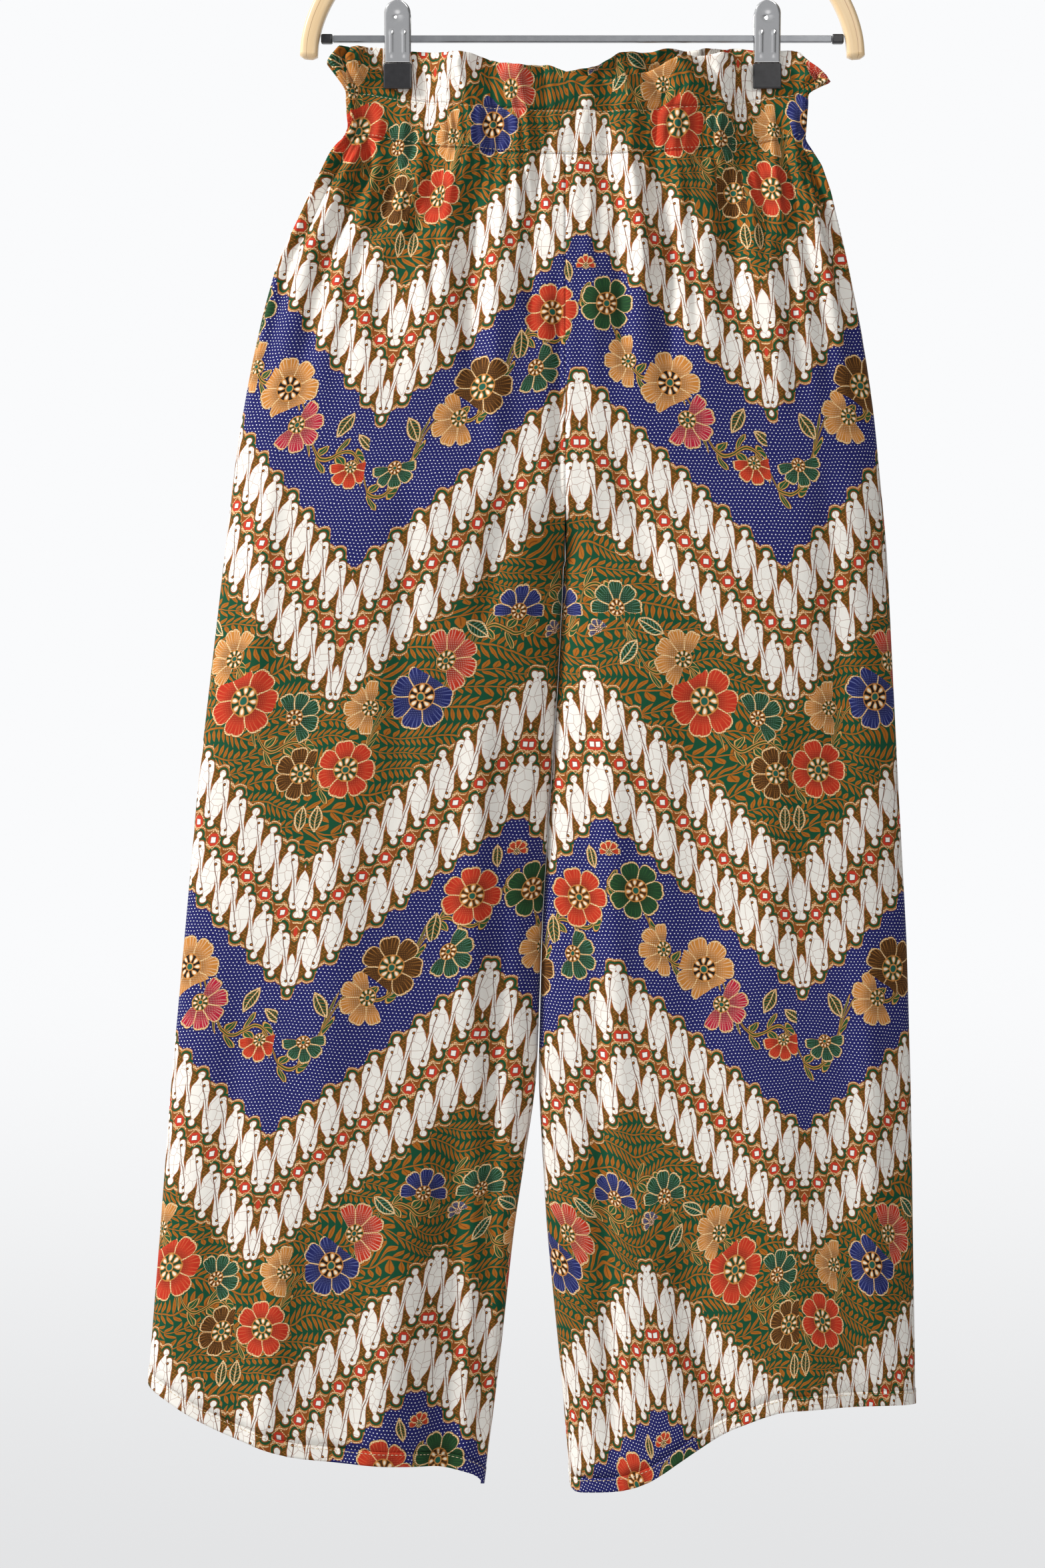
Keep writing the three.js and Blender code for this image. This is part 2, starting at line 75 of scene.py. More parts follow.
camera_data = bpy.data.cameras.new("camera")
camera_data.lens = LENS
camera_data.sensor_width = SENSOR
camera = bpy.data.objects.new("camera", camera_data)
camera.location = PICTURE_CENTRE - Vector((0, PICTURE_HEIGHT * LENS / SENSOR, 0))
camera.rotation_euler = (math.radians(90), 0, 0)
bpy.context.scene.collection.objects.link(camera)
bpy.context.scene.camera = camera
print("camera", round(-camera.location.y, 2), "m in front")

# %% [markdown]
# ## Finishes as formulas
# Every finish is drawn by shader nodes. A small class lets math nodes be written as ordinary sums, so that a
# finish, and later the whole print, reads as a formula of the place on the surface.

# %% Fields made of math nodes
OPERATIONS = {
    "add": "ADD", "radd": "ADD", "sub": "SUBTRACT", "mul": "MULTIPLY", "rmul": "MULTIPLY",
    "truediv": "DIVIDE", "lt": "LESS_THAN", "gt": "GREATER_THAN", "abs": "ABSOLUTE",
}


class Field:
    """A value that changes over a surface: one output of a shader node."""

    tree = None

    def __init__(self, socket):
        self.socket = socket

    def __rsub__(self, other):
        return math_field("SUBTRACT", other, self)


def feed(node, values):
    """Give a node's inputs, by name or number, a field to follow or a fixed value."""
    for slot, value in values.items():
        if isinstance(value, Field):
            Field.tree.links.new(value.socket, node.inputs[slot])
        else:
            node.inputs[slot].default_value = value
    return node


def add_node(kind, values=None, **settings):
    node = Field.tree.nodes.new(kind)
    for name, value in settings.items():
        setattr(node, name, value)
    return feed(node, values or {})


def field(kind, values=None, output=0, **settings):
    return Field(add_node(kind, values, **settings).outputs[output])


def math_field(operation, *values):
    return field("ShaderNodeMath", dict(enumerate(values)), operation=operation)


def worked_by(operation):
    return lambda *values: math_field(operation, *values)


for name, operation in OPERATIONS.items():
    setattr(Field, "__" + name + "__", worked_by(operation))
print("sums that a field knows:", len(OPERATIONS) + 1)

# %% [markdown]
# The other operations get plain names. Distances are in millimetres, and a mask is a field that is 1 inside a
# shape and 0 outside. Dyes are painted one over another through such masks.

# %% Masks and dyes
def lesser(a, b):
    return math_field("MINIMUM", a, b)


def greater(a, b):
    return math_field("MAXIMUM", a, b)


def wave(a):
    return math_field("SINE", a)


def fraction(a):
    return math_field("FRACT", a)


def wrapped(a, low, high):
    return math_field("WRAP", a, high, low)


def vector(x, y):
    return field("ShaderNodeCombineXYZ", {0: x, 1: y})


def parts(a):
    return [Field(output) for output in add_node("ShaderNodeSeparateXYZ", {0: a}).outputs]


def length(x, y):
    return field("ShaderNodeVectorMath", {0: vector(x, y)}, "Value", operation="LENGTH")


def choose(mask, yes, no):
    """One of two values, or a mix of them where the mask is between 0 and 1."""
    return field("ShaderNodeMix", {0: mask, 2: no, 3: yes}, data_type="FLOAT")


def choose_vector(mask, yes, no):
    return field("ShaderNodeMix", {0: mask, 4: no, 5: yes}, 1, data_type="VECTOR")


def within(distance, edge=0.0, soft=0.3):
    """1 where a distance is under an edge and 0 past it, with a soft step between."""
    values = {0: distance, 1: -1 / soft, 2: edge / soft + 0.5}
    return field("ShaderNodeMath", values, operation="MULTIPLY_ADD", use_clamp=True)


def noise(place, scale, detail=2, output="Fac", dimensions="2D"):
    values = {"Vector": place, "Scale": scale, "Detail": detail}
    return field("ShaderNodeTexNoise", values, output, noise_dimensions=dimensions)


def bumps(height, strength, distance):
    return field("ShaderNodeBump", {"Height": height, "Strength": strength, "Distance": distance})


def colour_ramp(value, stops, interpolation="LINEAR"):
    """A Color Ramp through places from 0 to 1 and their colours."""
    node = add_node("ShaderNodeValToRGB", {0: value})
    node.color_ramp.interpolation = interpolation
    elements = node.color_ramp.elements
    while len(elements) < len(stops):
        elements.new(0.5)
    for element, (place, shade) in zip(elements, stops):
        element.position = place
        element.color = shade
    return Field(node.outputs[0])


def from_table(value, rows):
    """A straight-line table of places and values."""
    start, end = rows[0][0], rows[-1][0]
    low = min(number for _, number in rows)
    span = max(number for _, number in rows) - low
    stops = [((place - start) / (end - start), (*[(number - low) / span] * 3, 1)) for place, number in rows]
    return colour_ramp((value - start) / (end - start), stops) * span + low


def ink(code):
    """A dye's linear colour from its six-figure screen colour."""
    shades = [int(code[i:i + 2], 16) / 255 for i in (0, 2, 4)]
    return (*[((s + 0.055) / 1.055) ** 2.4 if s > 0.04045 else s / 12.92 for s in shades], 1)


def paint(under, *layers):
    """Dyes laid over a colour one after another, each where its mask is 1."""
    for dye, mask in layers:
        dye = ink(dye) if isinstance(dye, str) else dye
        under = field("ShaderNodeMix", {0: mask, 6: under, 7: dye}, 2, data_type="RGBA")
    return under


print("white", [round(x, 2) for x in ink("ECE9E2")[:3]])

# %% [markdown]
# ## Floor and light
# A pale floor and a white world stand for the white room. The world is brightest behind the cloth, where the
# wall is. A soft lamp from the upper left models the folds, and a weaker one fills the other side.

# %% A pale floor
FLOOR_DROP = 0.8
FLOOR_END = 3.4
FLOOR_HALF = 12
FLOOR_SHADES = ((0.86, 0.86, 0.865), (0.84, 0.84, 0.85))
FINE_BUMP = 0.0002


def new_material(name):
    """A new material, which the next nodes go into, and its shader."""
    material = bpy.data.materials.new(name)
    material.use_nodes = True
    Field.tree = material.node_tree
    return material, material.node_tree.nodes["Principled BSDF"]


def mottled_material(name, colours, scale, roughness, bump=0.0, metallic=0.0):
    """A finish whose colour drifts between two shades, with fine bumps."""
    material, shader = new_material(name)
    drift = noise(field("ShaderNodeTexCoord", output="Object"), scale, 3, dimensions="3D")
    low, high = [(*shade, 1) for shade in colours]
    feed(shader, {"Base Color": paint(low, (high, drift)), "Roughness": roughness, "Metallic": metallic})
    if bump:
        feed(shader, {"Normal": bumps(drift, bump, FINE_BUMP)})
    return material


def new_piece(name, form, smooth=True):
    """A finished form as an object, smooth all over or as its faces already are."""
    for face in form.faces:
        face.smooth = smooth or face.smooth
    mesh = bpy.data.meshes.new(name)
    form.to_mesh(mesh)
    form.free()
    piece = bpy.data.objects.new(name, mesh)
    bpy.context.scene.collection.objects.link(piece)
    return piece


form = bmesh.new()
bmesh.ops.create_grid(form, x_segments=1, y_segments=1, size=FLOOR_HALF)
bmesh.ops.translate(form, verts=form.verts, vec=(0, FLOOR_END - FLOOR_HALF, cad_low.z - FLOOR_DROP))
floor = new_piece("floor", form, smooth=False)
floor.data.materials.append(mottled_material("pale_floor", FLOOR_SHADES, 3, 0.9))
print("floor at", round(cad_low.z - FLOOR_DROP, 3))

# %% [markdown]
# The strength of the world depends on the direction alone: bright behind the cloth, where the wall is, and
# dimmer towards the right, so that the folds keep a light and a dark flank. Both lamps are large and soft.

# %% World and lamps
ROOM_COLOUR = (0.87, 0.875, 0.885, 1)
ROOM_LIGHT = (0.72, 0.12)
WALL_LIGHT = (0.88, 1.1)
WALL_EDGE = (0.5, 0.93)
ROOM_SIDES = (-0.8, 0.8)
WALL_FOOT = (-0.22, -0.04)
LAMP_COLOUR = (1.0, 0.98, 0.95)
LAMPS = {"key_lamp": ((-2.6, -1.05, 1.2), 0.55, 118), "fill_lamp": ((1.0, -2.8, 0.9), 1.4, 24)}


def eased(value, start, end, low, high):
    """A strength that eases from low to high as a value goes from start to end."""
    steps = dict(enumerate((value, start, end, low, high)))
    return field("ShaderNodeMapRange", steps, interpolation_type="SMOOTHSTEP")


def soft_lamp(name, place, size, power):
    data = bpy.data.lights.new(name, "AREA")
    data.shape = "DISK"
    data.size = size
    data.energy = power
    data.color = LAMP_COLOUR
    lamp = bpy.data.objects.new(name, data)
    lamp.location = place
    lamp.rotation_euler = (PICTURE_CENTRE - Vector(place)).to_track_quat("-Z", "Y").to_euler()
    bpy.context.scene.collection.objects.link(lamp)


world = bpy.context.scene.world or bpy.data.worlds.new("world")
bpy.context.scene.world = world
world.use_nodes = True
Field.tree = world.node_tree
sideways, backwards, upwards = parts(field("ShaderNodeTexCoord", output="Generated"))
room = eased(sideways, *ROOM_SIDES, *ROOM_LIGHT)
wall = eased(upwards, *WALL_FOOT, *WALL_LIGHT)
strength = choose(eased(backwards, *WALL_EDGE, 0, 1), wall, room)
feed(world.node_tree.nodes["Background"], {"Color": ROOM_COLOUR, "Strength": strength})
for name, settings in LAMPS.items():
    soft_lamp(name, *settings)
bpy.context.scene.view_settings.view_transform = "Standard"
print("lamps", len(LAMPS))

# %% [markdown]
# ## The shape of the garment
# Every panel is one quarter of a tube: a level section runs from the side seam round to the centre seam,
# and below the crotch it runs on round the leg to the inseam. Short tables give the silhouette, the inner
# edges of the legs and how far the cloth stands off the middle, all in millimetres.

# %% Tables of the silhouette
SIDES = ("left", "right")
FACES = ("front", "back")
CLOTH = 0.6
SEAM_SPACE = 0.08
SEAM_GAP = 0.3
UPPER_STITCH_Z = -233
LOWER_STITCH_Z = -264
CROTCH_Z = -563
CROTCH_CURVE = 72
HEM_Z = -1150
HEM_DEPTH = 10
SEAT_SEAM_X = -12
LEG_CLEARANCE = 0.35
CLIP_X = 129.5
PAD_HALF_WIDTH = 10

OUTER_EDGE = {
    "left": {
        "z": (-200, -207, -222, -229, -258, -272, -300, -349, -388, -426, -476, -553, -717, -937, -1048,
              -1215),
        "x": (-170, -180, -171, -166, -163, -174, -189, -213, -224, -232, -241, -250, -269, -288, -296, -309),
    },
    "right": {
        "z": (-200, -210, -218, -233, -266, -283, -303, -352, -402, -457, -553, -717, -828, -937, -1215),
        "x": (151, 166, 175, 158, 156, 167, 174, 186, 196, 204, 213, 221, 227, 230, 234),
    },
}
LEG_MIDDLE = {
    "z": (-563, -646, -717, -800, -898, -987, -1076, -1215),
    "left": (-13, -17, -22, -28, -32, -48, -59, -78),
    "right": (-13, -17, -22, -28, -31, -25, -15, -3),
}
FULLNESS = {
    "z": (-200, -233, -266, -310, -400, -560, -800, -1215),
    "front": (17, 15, 15, 24, 31, 33, 27, 31),
    "back": (11, 10, 11, 17, 24, 26, 23, 25),
    "boxy": (0.9, 0.9, 0.9, 0.8, 0.7, 0.65, 0.6, 0.6),
}
RUFFLE_TOP = {
    "front": {
        "x": (-185, -168, -145, -130, -112, -79, -57, -43, -24, -12, 10, 25, 49, 67, 111, 129, 147, 160, 180),
        "z": (-207, -201, -201, -203, -204.4, -208, -214, -217, -216, -221, -226, -226, -219, -210, -206,
              -204, -203, -207, -218),
    },
    "back": {
        "x": (-185, -168, -130, -80, -40, -12, 8, 26, 60, 104, 129, 147, 160, 180),
        "z": (-207, -201, -203, -206, -213, -216, -212, -203, -200.5, -201, -204, -203, -207, -218),
    },
}
HEM_LINE = {
    "left_front": {
        "at": (0, 0.15, 0.3, 0.45, 0.6, 0.8, 0.92, 1),
        "z": (-1134, -1146, -1166, -1185, -1190, -1194, -1201, -1209),
    },
    "left_back": {"at": (0, 0.3, 0.7, 1), "z": (-1134, -1156, -1184, -1209)},
    "right_front": {
        "at": (0, 0.3, 0.44, 0.52, 0.6, 0.68, 0.75, 0.92, 1),
        "z": (-1151, -1150, -1153, -1166, -1183, -1203, -1210, -1212, -1206),
    },
    "right_back": {"at": (0, 0.3, 0.6, 1), "z": (-1151, -1154, -1166, -1206)},
}


def look(table, key, column, at, ease=0.0):
    """A column of a table at a key, eased over the corners between its rows."""
    keys = np.array(table[key], float)
    values = np.array(table[column], float)
    order = np.argsort(keys)

    def straight(place):
        return np.interp(place, keys[order], values[order])

    return (straight(at - ease) + 2 * straight(at) + straight(at + ease)) / 4


def smooth(share):
    share = np.clip(share, 0, 1)
    return share * share * (3 - 2 * share)


def ramp(start, end, value):
    return smooth((value - start) / (end - start))


def front_sign(face):
    return -1 if face == "front" else 1


print("waist", OUTER_EDGE["right"]["x"][4] - OUTER_EDGE["left"]["x"][4], "mm flat")

# %% [markdown]
# ## Folds and gathers
# Long folds are soft ridges and troughs along a line, each with its own depth and width. The elastic draws
# the waist into many small uneven gathers, which open out over the hips. Near a seam or a clip the cloth is
# held, so these fade out there, but the few sharp pleats do not. Each row gives the two ends of one fold, in
# X and height, then its depth and its width.

# %% Tables of the folds
FOLDS = {
    "front": (
        (-81, -262, -74, -470, -5, 8), (-66, -270, -60, -520, 3.5, 9), (-125, -262, -150, -440, -4, 9),
        (-158, -285, -198, -440, -3.5, 8), (52, -262, 62, -450, -4.5, 8), (100, -262, 106, -400, -4, 8),
        (138, -245, 150, -390, -4.5, 7), (-160, -640, -190, -1010, 4, 22), (75, -560, 84, -960, -3.5, 20),
        (-88, -900, -103, -1230, -9, 14), (-125, -960, -150, -1230, 5, 18), (62, -980, 112, -1230, -9, 17),
        (120, -900, 168, -1220, 5, 24),
    ),
    "back": (
        (-90, -262, -98, -500, -5, 9), (-140, -262, -170, -430, -4, 9), (40, -262, 48, -470, -5, 9),
        (110, -262, 132, -440, -4, 9), (-120, -640, -185, -1225, -7, 20), (95, -700, 128, -1225, -7, 20),
    ),
}
CREASES = {
    "front": (
        (-40, -262, -34, -420, -2.6, 4), (-52, -262, -47, -350, -2.0, 3.5),
        (-98, -262, -106, -390, -2.4, 4.5), (-112, -262, -128, -345, 2.0, 4),
        (-142, -262, -170, -360, -2.6, 5), (8, -262, 10, -360, -2.0, 4), (24, -262, 30, -440, -2.4, 5),
        (38, -262, 44, -380, 2.0, 4), (74, -262, 80, -420, -2.2, 4.5), (88, -262, 93, -350, 1.8, 4),
        (118, -262, 128, -360, -2.6, 4), (126, -262, 140, -470, 2.4, 7), (-22, -300, -20, -560, -2.2, 6),
        (6, -330, 4, -600, 1.6, 7), (-45, -480, -75, -640, -1.8, 9), (20, -480, 60, -600, -1.8, 9),
        (-215, -470, -232, -700, 1.8, 9), (168, -470, 182, -760, -1.8, 11),
        (-120, -480, -128, -760, -1.8, 12), (-70, -640, -82, -900, 2.4, 12), (20, -640, 22, -980, 2.6, 12),
        (-58, -760, -72, -1190, -3.2, 8), (8, -800, 24, -1190, -3.2, 9),
        (-235, -820, -262, -1150, -2.4, 14), (196, -800, 204, -1140, 2.2, 12),
        (-205, -980, -228, -1200, 2.6, 12), (132, -640, 128, -880, 2.0, 16),
    ),
    "back": (
        (-30, -262, -34, -400, -2.4, 5), (-60, -262, -64, -430, 2.2, 5), (-115, -262, -128, -380, -2.4, 5),
        (12, -262, 16, -380, -2.2, 5), (66, -262, 74, -420, 2.2, 5), (90, -262, 102, -360, -2.2, 5),
        (-40, -480, -70, -640, -2.0, 9), (24, -480, 62, -620, -2.0, 9), (-180, -520, -205, -820, 2.4, 14),
        (150, -520, 165, -860, 2.4, 14), (-75, -740, -90, -1190, 3.0, 12), (40, -740, 52, -1190, 3.0, 12),
    ),
}
PLEATS = {
    "front": (
        (-17.5, -335, -16.5, -575, -3.4, 4.6), (132.5, -234, 138, -345, 3.0, 3.4),
        (147, -234, 153, -350, 3.4, 4.2), (118, -236, 121, -335, 2.0, 4.0),
        (-140, -234, -152, -345, 2.8, 4.4), (-124, -234, -129, -340, 2.4, 4.0),
        (-112, -238, -116, -330, 2.0, 3.6),
    ),
    "back": (
        (138, -236, 146, -340, 2.6, 4.4), (121, -236, 124, -330, 2.2, 4.0),
        (-136, -236, -146, -340, 2.6, 4.4), (-120, -236, -124, -330, 2.2, 4.0),
    ),
}
CREASE_DEPTH = 1.7
PLEAT_DEPTH = 1.4
STITCH_GROOVE = 1.1
GATHERS = 7
GATHER_UNEVEN = 0.35
GATHER_DEPTH = {
    "z": (-200, -215, -233, -264, -285, -330, -400, -470),
    "deep": (5.5, 3.8, 2.2, 2.4, 4.2, 3.4, 1.5, 0),
}
PUCKER_DEPTH = {
    "z": (-200, -216, -228, -233, -240, -249, -257, -264, -275, -300, -340),
    "deep": (1.2, 1.3, 1.2, 0.8, 1.4, 1.6, 1.4, 0.9, 2.0, 1.5, 0),
}
PUCKERS = 26
PUCKER_LEAN = 0.06
PUCKER_EVEN = 0.65
SIDE_PHASE = 1.3
FACE_PHASE = 2.1

for name, table in (("folds", FOLDS), ("creases", CREASES), ("pleats", PLEATS)):
    print(name, len(table["front"]), "in front and", len(table["back"]), "behind")

# %% [markdown]
# A level section gives the cloth's middle. The gathers, folds and puckers lift the cloth square to it, less
# near a seam, and a clip squeezes front and back together. Last comes the height, because the waist sags.

# %% The surface of the cloth
WAIST_EASE = 3
LEG_EASE = 12
EASE_SPAN = (-300, -450)
PAD_HOLD = (9, 26)
CLIP_REACH = (-236, -350)
HELD_AT_SEAM = 0.08
SEAM_REST = (0.16, 0.86)
EDGE_REST = (0.03, 0.97)
FADE_IN = 0.25
FADE_OUT = 0.7
GROOVE_WIDTH = 2.5
SAG = {"front": 14, "back": 6}
SAG_REACH = 150
SAG_FADE = (0, 0.3)
HEM_FADE = (0.45, 1)
RUFFLE_TOP_Z = -200


def clip_hold(x, z):
    """How tightly a clip squeezes front and back together, from 0 to 1."""
    away = np.abs(np.abs(x) - CLIP_X) - PAD_HALF_WIDTH
    return (1 - ramp(*PAD_HOLD, away)) * (1 - ramp(*CLIP_REACH, z))


def section(side, face, u, z, wall=CLOTH, half_gap=SEAM_SPACE):
    """The middle of the cloth in a level section, before its gathers and folds."""
    ease = WAIST_EASE + LEG_EASE * ramp(*EASE_SPAN, z)
    leg = ramp(CROTCH_Z + CROTCH_CURVE, CROTCH_Z, z)
    outer = look(OUTER_EDGE[side], "z", "x", z, ease)
    clear = half_gap + leg * (LEG_CLEARANCE - half_gap)
    middle = np.where(z > CROTCH_Z, SEAT_SEAM_X, look(LEG_MIDDLE, "z", side, z, ease))
    inner = middle + (-clear if side == "left" else clear)
    end = math.pi / 2 * (1 + leg)
    share = (1 - np.cos(u * end)) / (1 - np.cos(end))
    x = outer + (inner - outer) * share
    full = look(FULLNESS, "z", face, z, ease)
    boxy = look(FULLNESS, "z", "boxy", z, ease)
    free = half_gap + full * np.maximum(0, np.sin(u * end)) ** boxy
    held = SEAM_GAP + wall / 2
    hold = clip_hold(x, z) * ramp(0, HELD_AT_SEAM, u)
    off = free + (held - free) * hold
    return x, off * front_sign(face), hold, np.maximum(0, off - held)


def fold_lift(rows, x, z):
    """The sum of the ridges and troughs of a table of folds."""
    lift = np.zeros_like(x)
    for x1, z1, x2, z2, depth, width in rows:
        down = (z - z1) / (z2 - z1)
        fade = ramp(0, FADE_IN, down) * ramp(1, FADE_OUT, down)
        away = (x - x1 - (x2 - x1) * down) / width
        lift = lift + depth * fade * np.exp(-away * away)
    return lift


def relief(side, face, u, z, x, hold, room):
    """How far gathers and folds lift the cloth out of its section."""
    seam, edge = [np.minimum(ramp(0, start, u), ramp(1, end, u)) for start, end in (SEAM_REST, EDGE_REST)]
    phase = (0 if side == "left" else SIDE_PHASE) + (0 if face == "front" else FACE_PHASE)
    uneven = GATHER_UNEVEN * np.sin(4 * math.pi * u + phase)
    gathers = np.cos(2 * math.pi * GATHERS * u + 2 * uneven + phase)
    lift = look(GATHER_DEPTH, "z", "deep", z, 4) * gathers
    lift = lift + fold_lift(FOLDS[face], x, z) + CREASE_DEPTH * fold_lift(CREASES[face], x, z)
    pucker = np.sin(2 * math.pi * PUCKERS * u + 3 * np.sin(9 * u + phase) + PUCKER_LEAN * z)
    pucker = pucker * (PUCKER_EVEN + (1 - PUCKER_EVEN) * np.sin(23 * u + 2 * phase))
    small = look(PUCKER_DEPTH, "z", "deep", z, 2) * pucker * edge
    for stitch_z in (UPPER_STITCH_Z, LOWER_STITCH_Z):
        small = small - STITCH_GROOVE * np.exp(-(((z - stitch_z) / GROOVE_WIDTH) ** 2))
    lift = np.maximum((lift * seam + small) * (1 - hold), -room)
    return lift + PLEAT_DEPTH * fold_lift(PLEATS[face], x, z)


def height(side, face, u, z, x):
    """The waist sags between the clips, and the ruffle and hems follow their own edges."""
    sag = SAG[face] * np.clip(1 - (x / SAG_REACH) ** 2, 0, 1)
    top = look(RUFFLE_TOP[face], "x", "z", x, 3)
    up = (z - UPPER_STITCH_Z) / (RUFFLE_TOP_Z - UPPER_STITCH_Z)
    above = (UPPER_STITCH_Z - sag) * (1 - up) + top * up
    hem = look(HEM_LINE[side + "_" + face], "at", "z", u, 0.03) - HEM_Z
    drop = np.clip((z - LOWER_STITCH_Z) / (HEM_Z - LOWER_STITCH_Z), 0, 1)
    below = z - sag * (1 - ramp(*SAG_FADE, drop)) + hem * ramp(*HEM_FADE, drop)
    return np.where(z > UPPER_STITCH_Z, above, below)


def cloth(side, face, u, z, half_gap=SEAM_SPACE, inset=0.0):
    """Points of the cloth, in millimetres, for arrays of places across and heights."""
    step = 0.004
    before = section(side, face, np.clip(u - step, 0, 1), z, CLOTH, half_gap)
    after = section(side, face, np.clip(u + step, 0, 1), z, CLOTH, half_gap)
    along = np.stack([after[0] - before[0], after[1] - before[1]])
    along = along / np.linalg.norm(along, axis=0)
    turn = 1 if (side == "left") == (face == "front") else -1
    x, y, hold, room = section(side, face, u, z, CLOTH, half_gap)
    lift = turn * (relief(side, face, u, z, x, hold, room) - inset)
    return np.stack([x + along[1] * lift, y - along[0] * lift, height(side, face, u, z, x)], axis=-1)


corner = cloth("left", "front", np.array([1.0]), np.array([-500.0]))
print("seat seam stands", round(float(-corner[0][1]), 1), "mm in front of the middle")

# %% [markdown]
# ## Where the print lies
# The batik is a zigzag. Its peaks run down beside the centre front and its valleys near the side seams, and
# both lines swing out over the legs with the cloth. The cloth was printed flat and then gathered, so the
# print is measured along the cloth, between those two lines. The result is kept as a UV map in metres.

# %% Guide lines of the print
HALF_WAVE = 145
PRINT_LEVEL = -426.5
PRINT_LINES = {
    "z": (-235, -334, -426, -528, -633, -740, -836, -943, -1046, -1150),
    "right": {
        "peak": (3, -1, -3, -2, 4, 13, 22, 32, 43, 53),
        "valley": (109, 121, 128, 137, 143, 148, 152, 154, 153, 152),
        "peak_lift": (13.5, 9.5, 0, -1.5, 1, 5.5, 0, 3, 4, 6),
        "valley_lift": (5, 4.5, 5, 0.5, 1.5, 0, -1.5, -16, -28, -36),
    },
    "left": {
        "peak": (2, -1, -2, -16, -30, -45, -63, -80, -100, -118),
        "valley": (-104, -119, -133, -152, -170, -187, -202, -216, -231, -247),
        "peak_lift": (13.5, 9.5, 1.5, 0, 1, 5.5, -2, 2, -6, -8),
        "valley_lift": (11.5, 11, 10, 2, 1.5, 0, -3, -14, -20, -27),
    },
}
GUIDE_EASE = 20
ROUND_STEPS = np.linspace(0, 1, 81)


def print_places(side, face, u, z, real_z):
    """Places on the print, in millimetres from a peak line and from the level where a zigzag peaks."""
    places = np.zeros((len(u), 2))
    outward = 1 if side == "right" else -1

    def guide(column, at):
        return look({"z": PRINT_LINES["z"], column: PRINT_LINES[side][column]}, "z", column, at, GUIDE_EASE)

    for row in np.unique(z):
        here = z == row
        x, y, _, _ = section(side, face, ROUND_STEPS, np.full(len(ROUND_STEPS), row))
        gone = np.concatenate([[0], np.cumsum(np.hypot(np.diff(x), np.diff(y)))])
        order = np.argsort(x)

        def distance(line):
            past = np.maximum(0, -outward * (line - x[-1]))
            return np.interp(line, x[order], gone[order]) + past

        peak = distance(guide("peak", real_z[here]))
        valley = distance(guide("valley", real_z[here]))
        along = np.interp(u[here], ROUND_STEPS, gone)
        waves = (peak - along) / (peak - valley)
        to_valley = 1 - abs(abs(waves) % 2 - 1)
        at_peak, at_valley = [guide(name, real_z[here]) for name in ("peak_lift", "valley_lift")]
        lift = at_peak * (1 - to_valley) + at_valley * to_valley
        places[here, 0] = outward * HALF_WAVE * waves
        places[here, 1] = real_z[here] - PRINT_LEVEL + lift
    return places


sample = print_places("right", "front", np.array([0.0, 1.0]), np.full(2, -500.0), np.full(2, -500.0))
print("print at the side and centre seams:", sample[:, 0].round(1), "mm")

# %% [markdown]
# ## Making a sheet
# A sheet is a grid whose points are moved onto the cloth by the formulas above, and a Solidify modifier gives
# it the thickness of a light cotton. The outermost columns turn in behind the seam, as a seam allowance does,
# so that no light shows between two sheets.

# %% A sheet of cloth
SEAM_TURN = 4
pieces = {}
cuts = {}


def seam_columns(across, columns):
    """Shares across a panel that leave one column at each end for its seam allowance."""
    share = np.clip((across * columns - 1) / (columns - 2), 0, 1)
    turned = (across < 0.5 / columns) | (across > 1 - 0.5 / columns)
    return share, turned


def face_towards(form, way):
    """Turn the faces over if they look away from the front, -1, or the back, 1."""
    form.normal_update()
    if sum(face.normal.y for face in form.faces) * way < 0:
        bmesh.ops.reverse_faces(form, faces=form.faces[:])


def give_wall(piece, thickness):
    wall = piece.modifiers.new("thickness", "SOLIDIFY")
    wall.thickness = thickness * MM
    wall.offset = 0
    return piece


def cloth_sheet(name, columns, rows, place, way, thickness=CLOTH):
    """A grid moved onto the cloth by place(across, down), which gives points and places on the print."""
    form = bmesh.new()
    bmesh.ops.create_grid(form, x_segments=columns, y_segments=rows, size=0.5)
    form.verts.ensure_lookup_table()
    across = np.array([vert.co.x + 0.5 for vert in form.verts])
    down = np.array([0.5 - vert.co.y for vert in form.verts])
    points, places = place(across.round(6), down.round(6))
    for vert, point in zip(form.verts, points):
        vert.co = point * MM
    face_towards(form, way)
    print_map = form.loops.layers.uv.new("print")
    for face in form.faces:
        for loop in face.loops:
            loop[print_map].uv = places[loop.vert.index] * MM
    grid = points.reshape(rows + 1, columns + 1, 3) * MM
    longest = [np.linalg.norm(np.diff(grid, axis=axis), axis=2).sum(axis=axis).max() for axis in (1, 0)]
    cuts[name] = (*[float(size) for size in longest], sum(face.calc_area() for face in form.faces))
    print(name, "cut", [round(size, 3) for size in cuts[name]])
    pieces[name] = give_wall(new_piece(name, form), thickness)


print("seam allowances turn in by", SEAM_TURN, "mm")

# %% [markdown]
# ## Leg panels
# Each leg has a front and a back panel, from the waist seam to the hem. The rows lie closer together near the
# waist, where the gathers change fastest. The mouth of each side pocket is a shallow curve where the front
# panel's edge lies back from the side seam.

# %% Four leg panels
PANEL_COLUMNS = 140
PANEL_ROWS = 190
POCKET_TOP = -289
POCKET_BOTTOM = -423
POCKET_RECESS = {"left": 0.062, "right": 0.085}
POCKET_TURN = 1.0
WAIST_LAP = 0.5
WAIST_TUCK = 0.4
EVEN_ROWS = 0.4


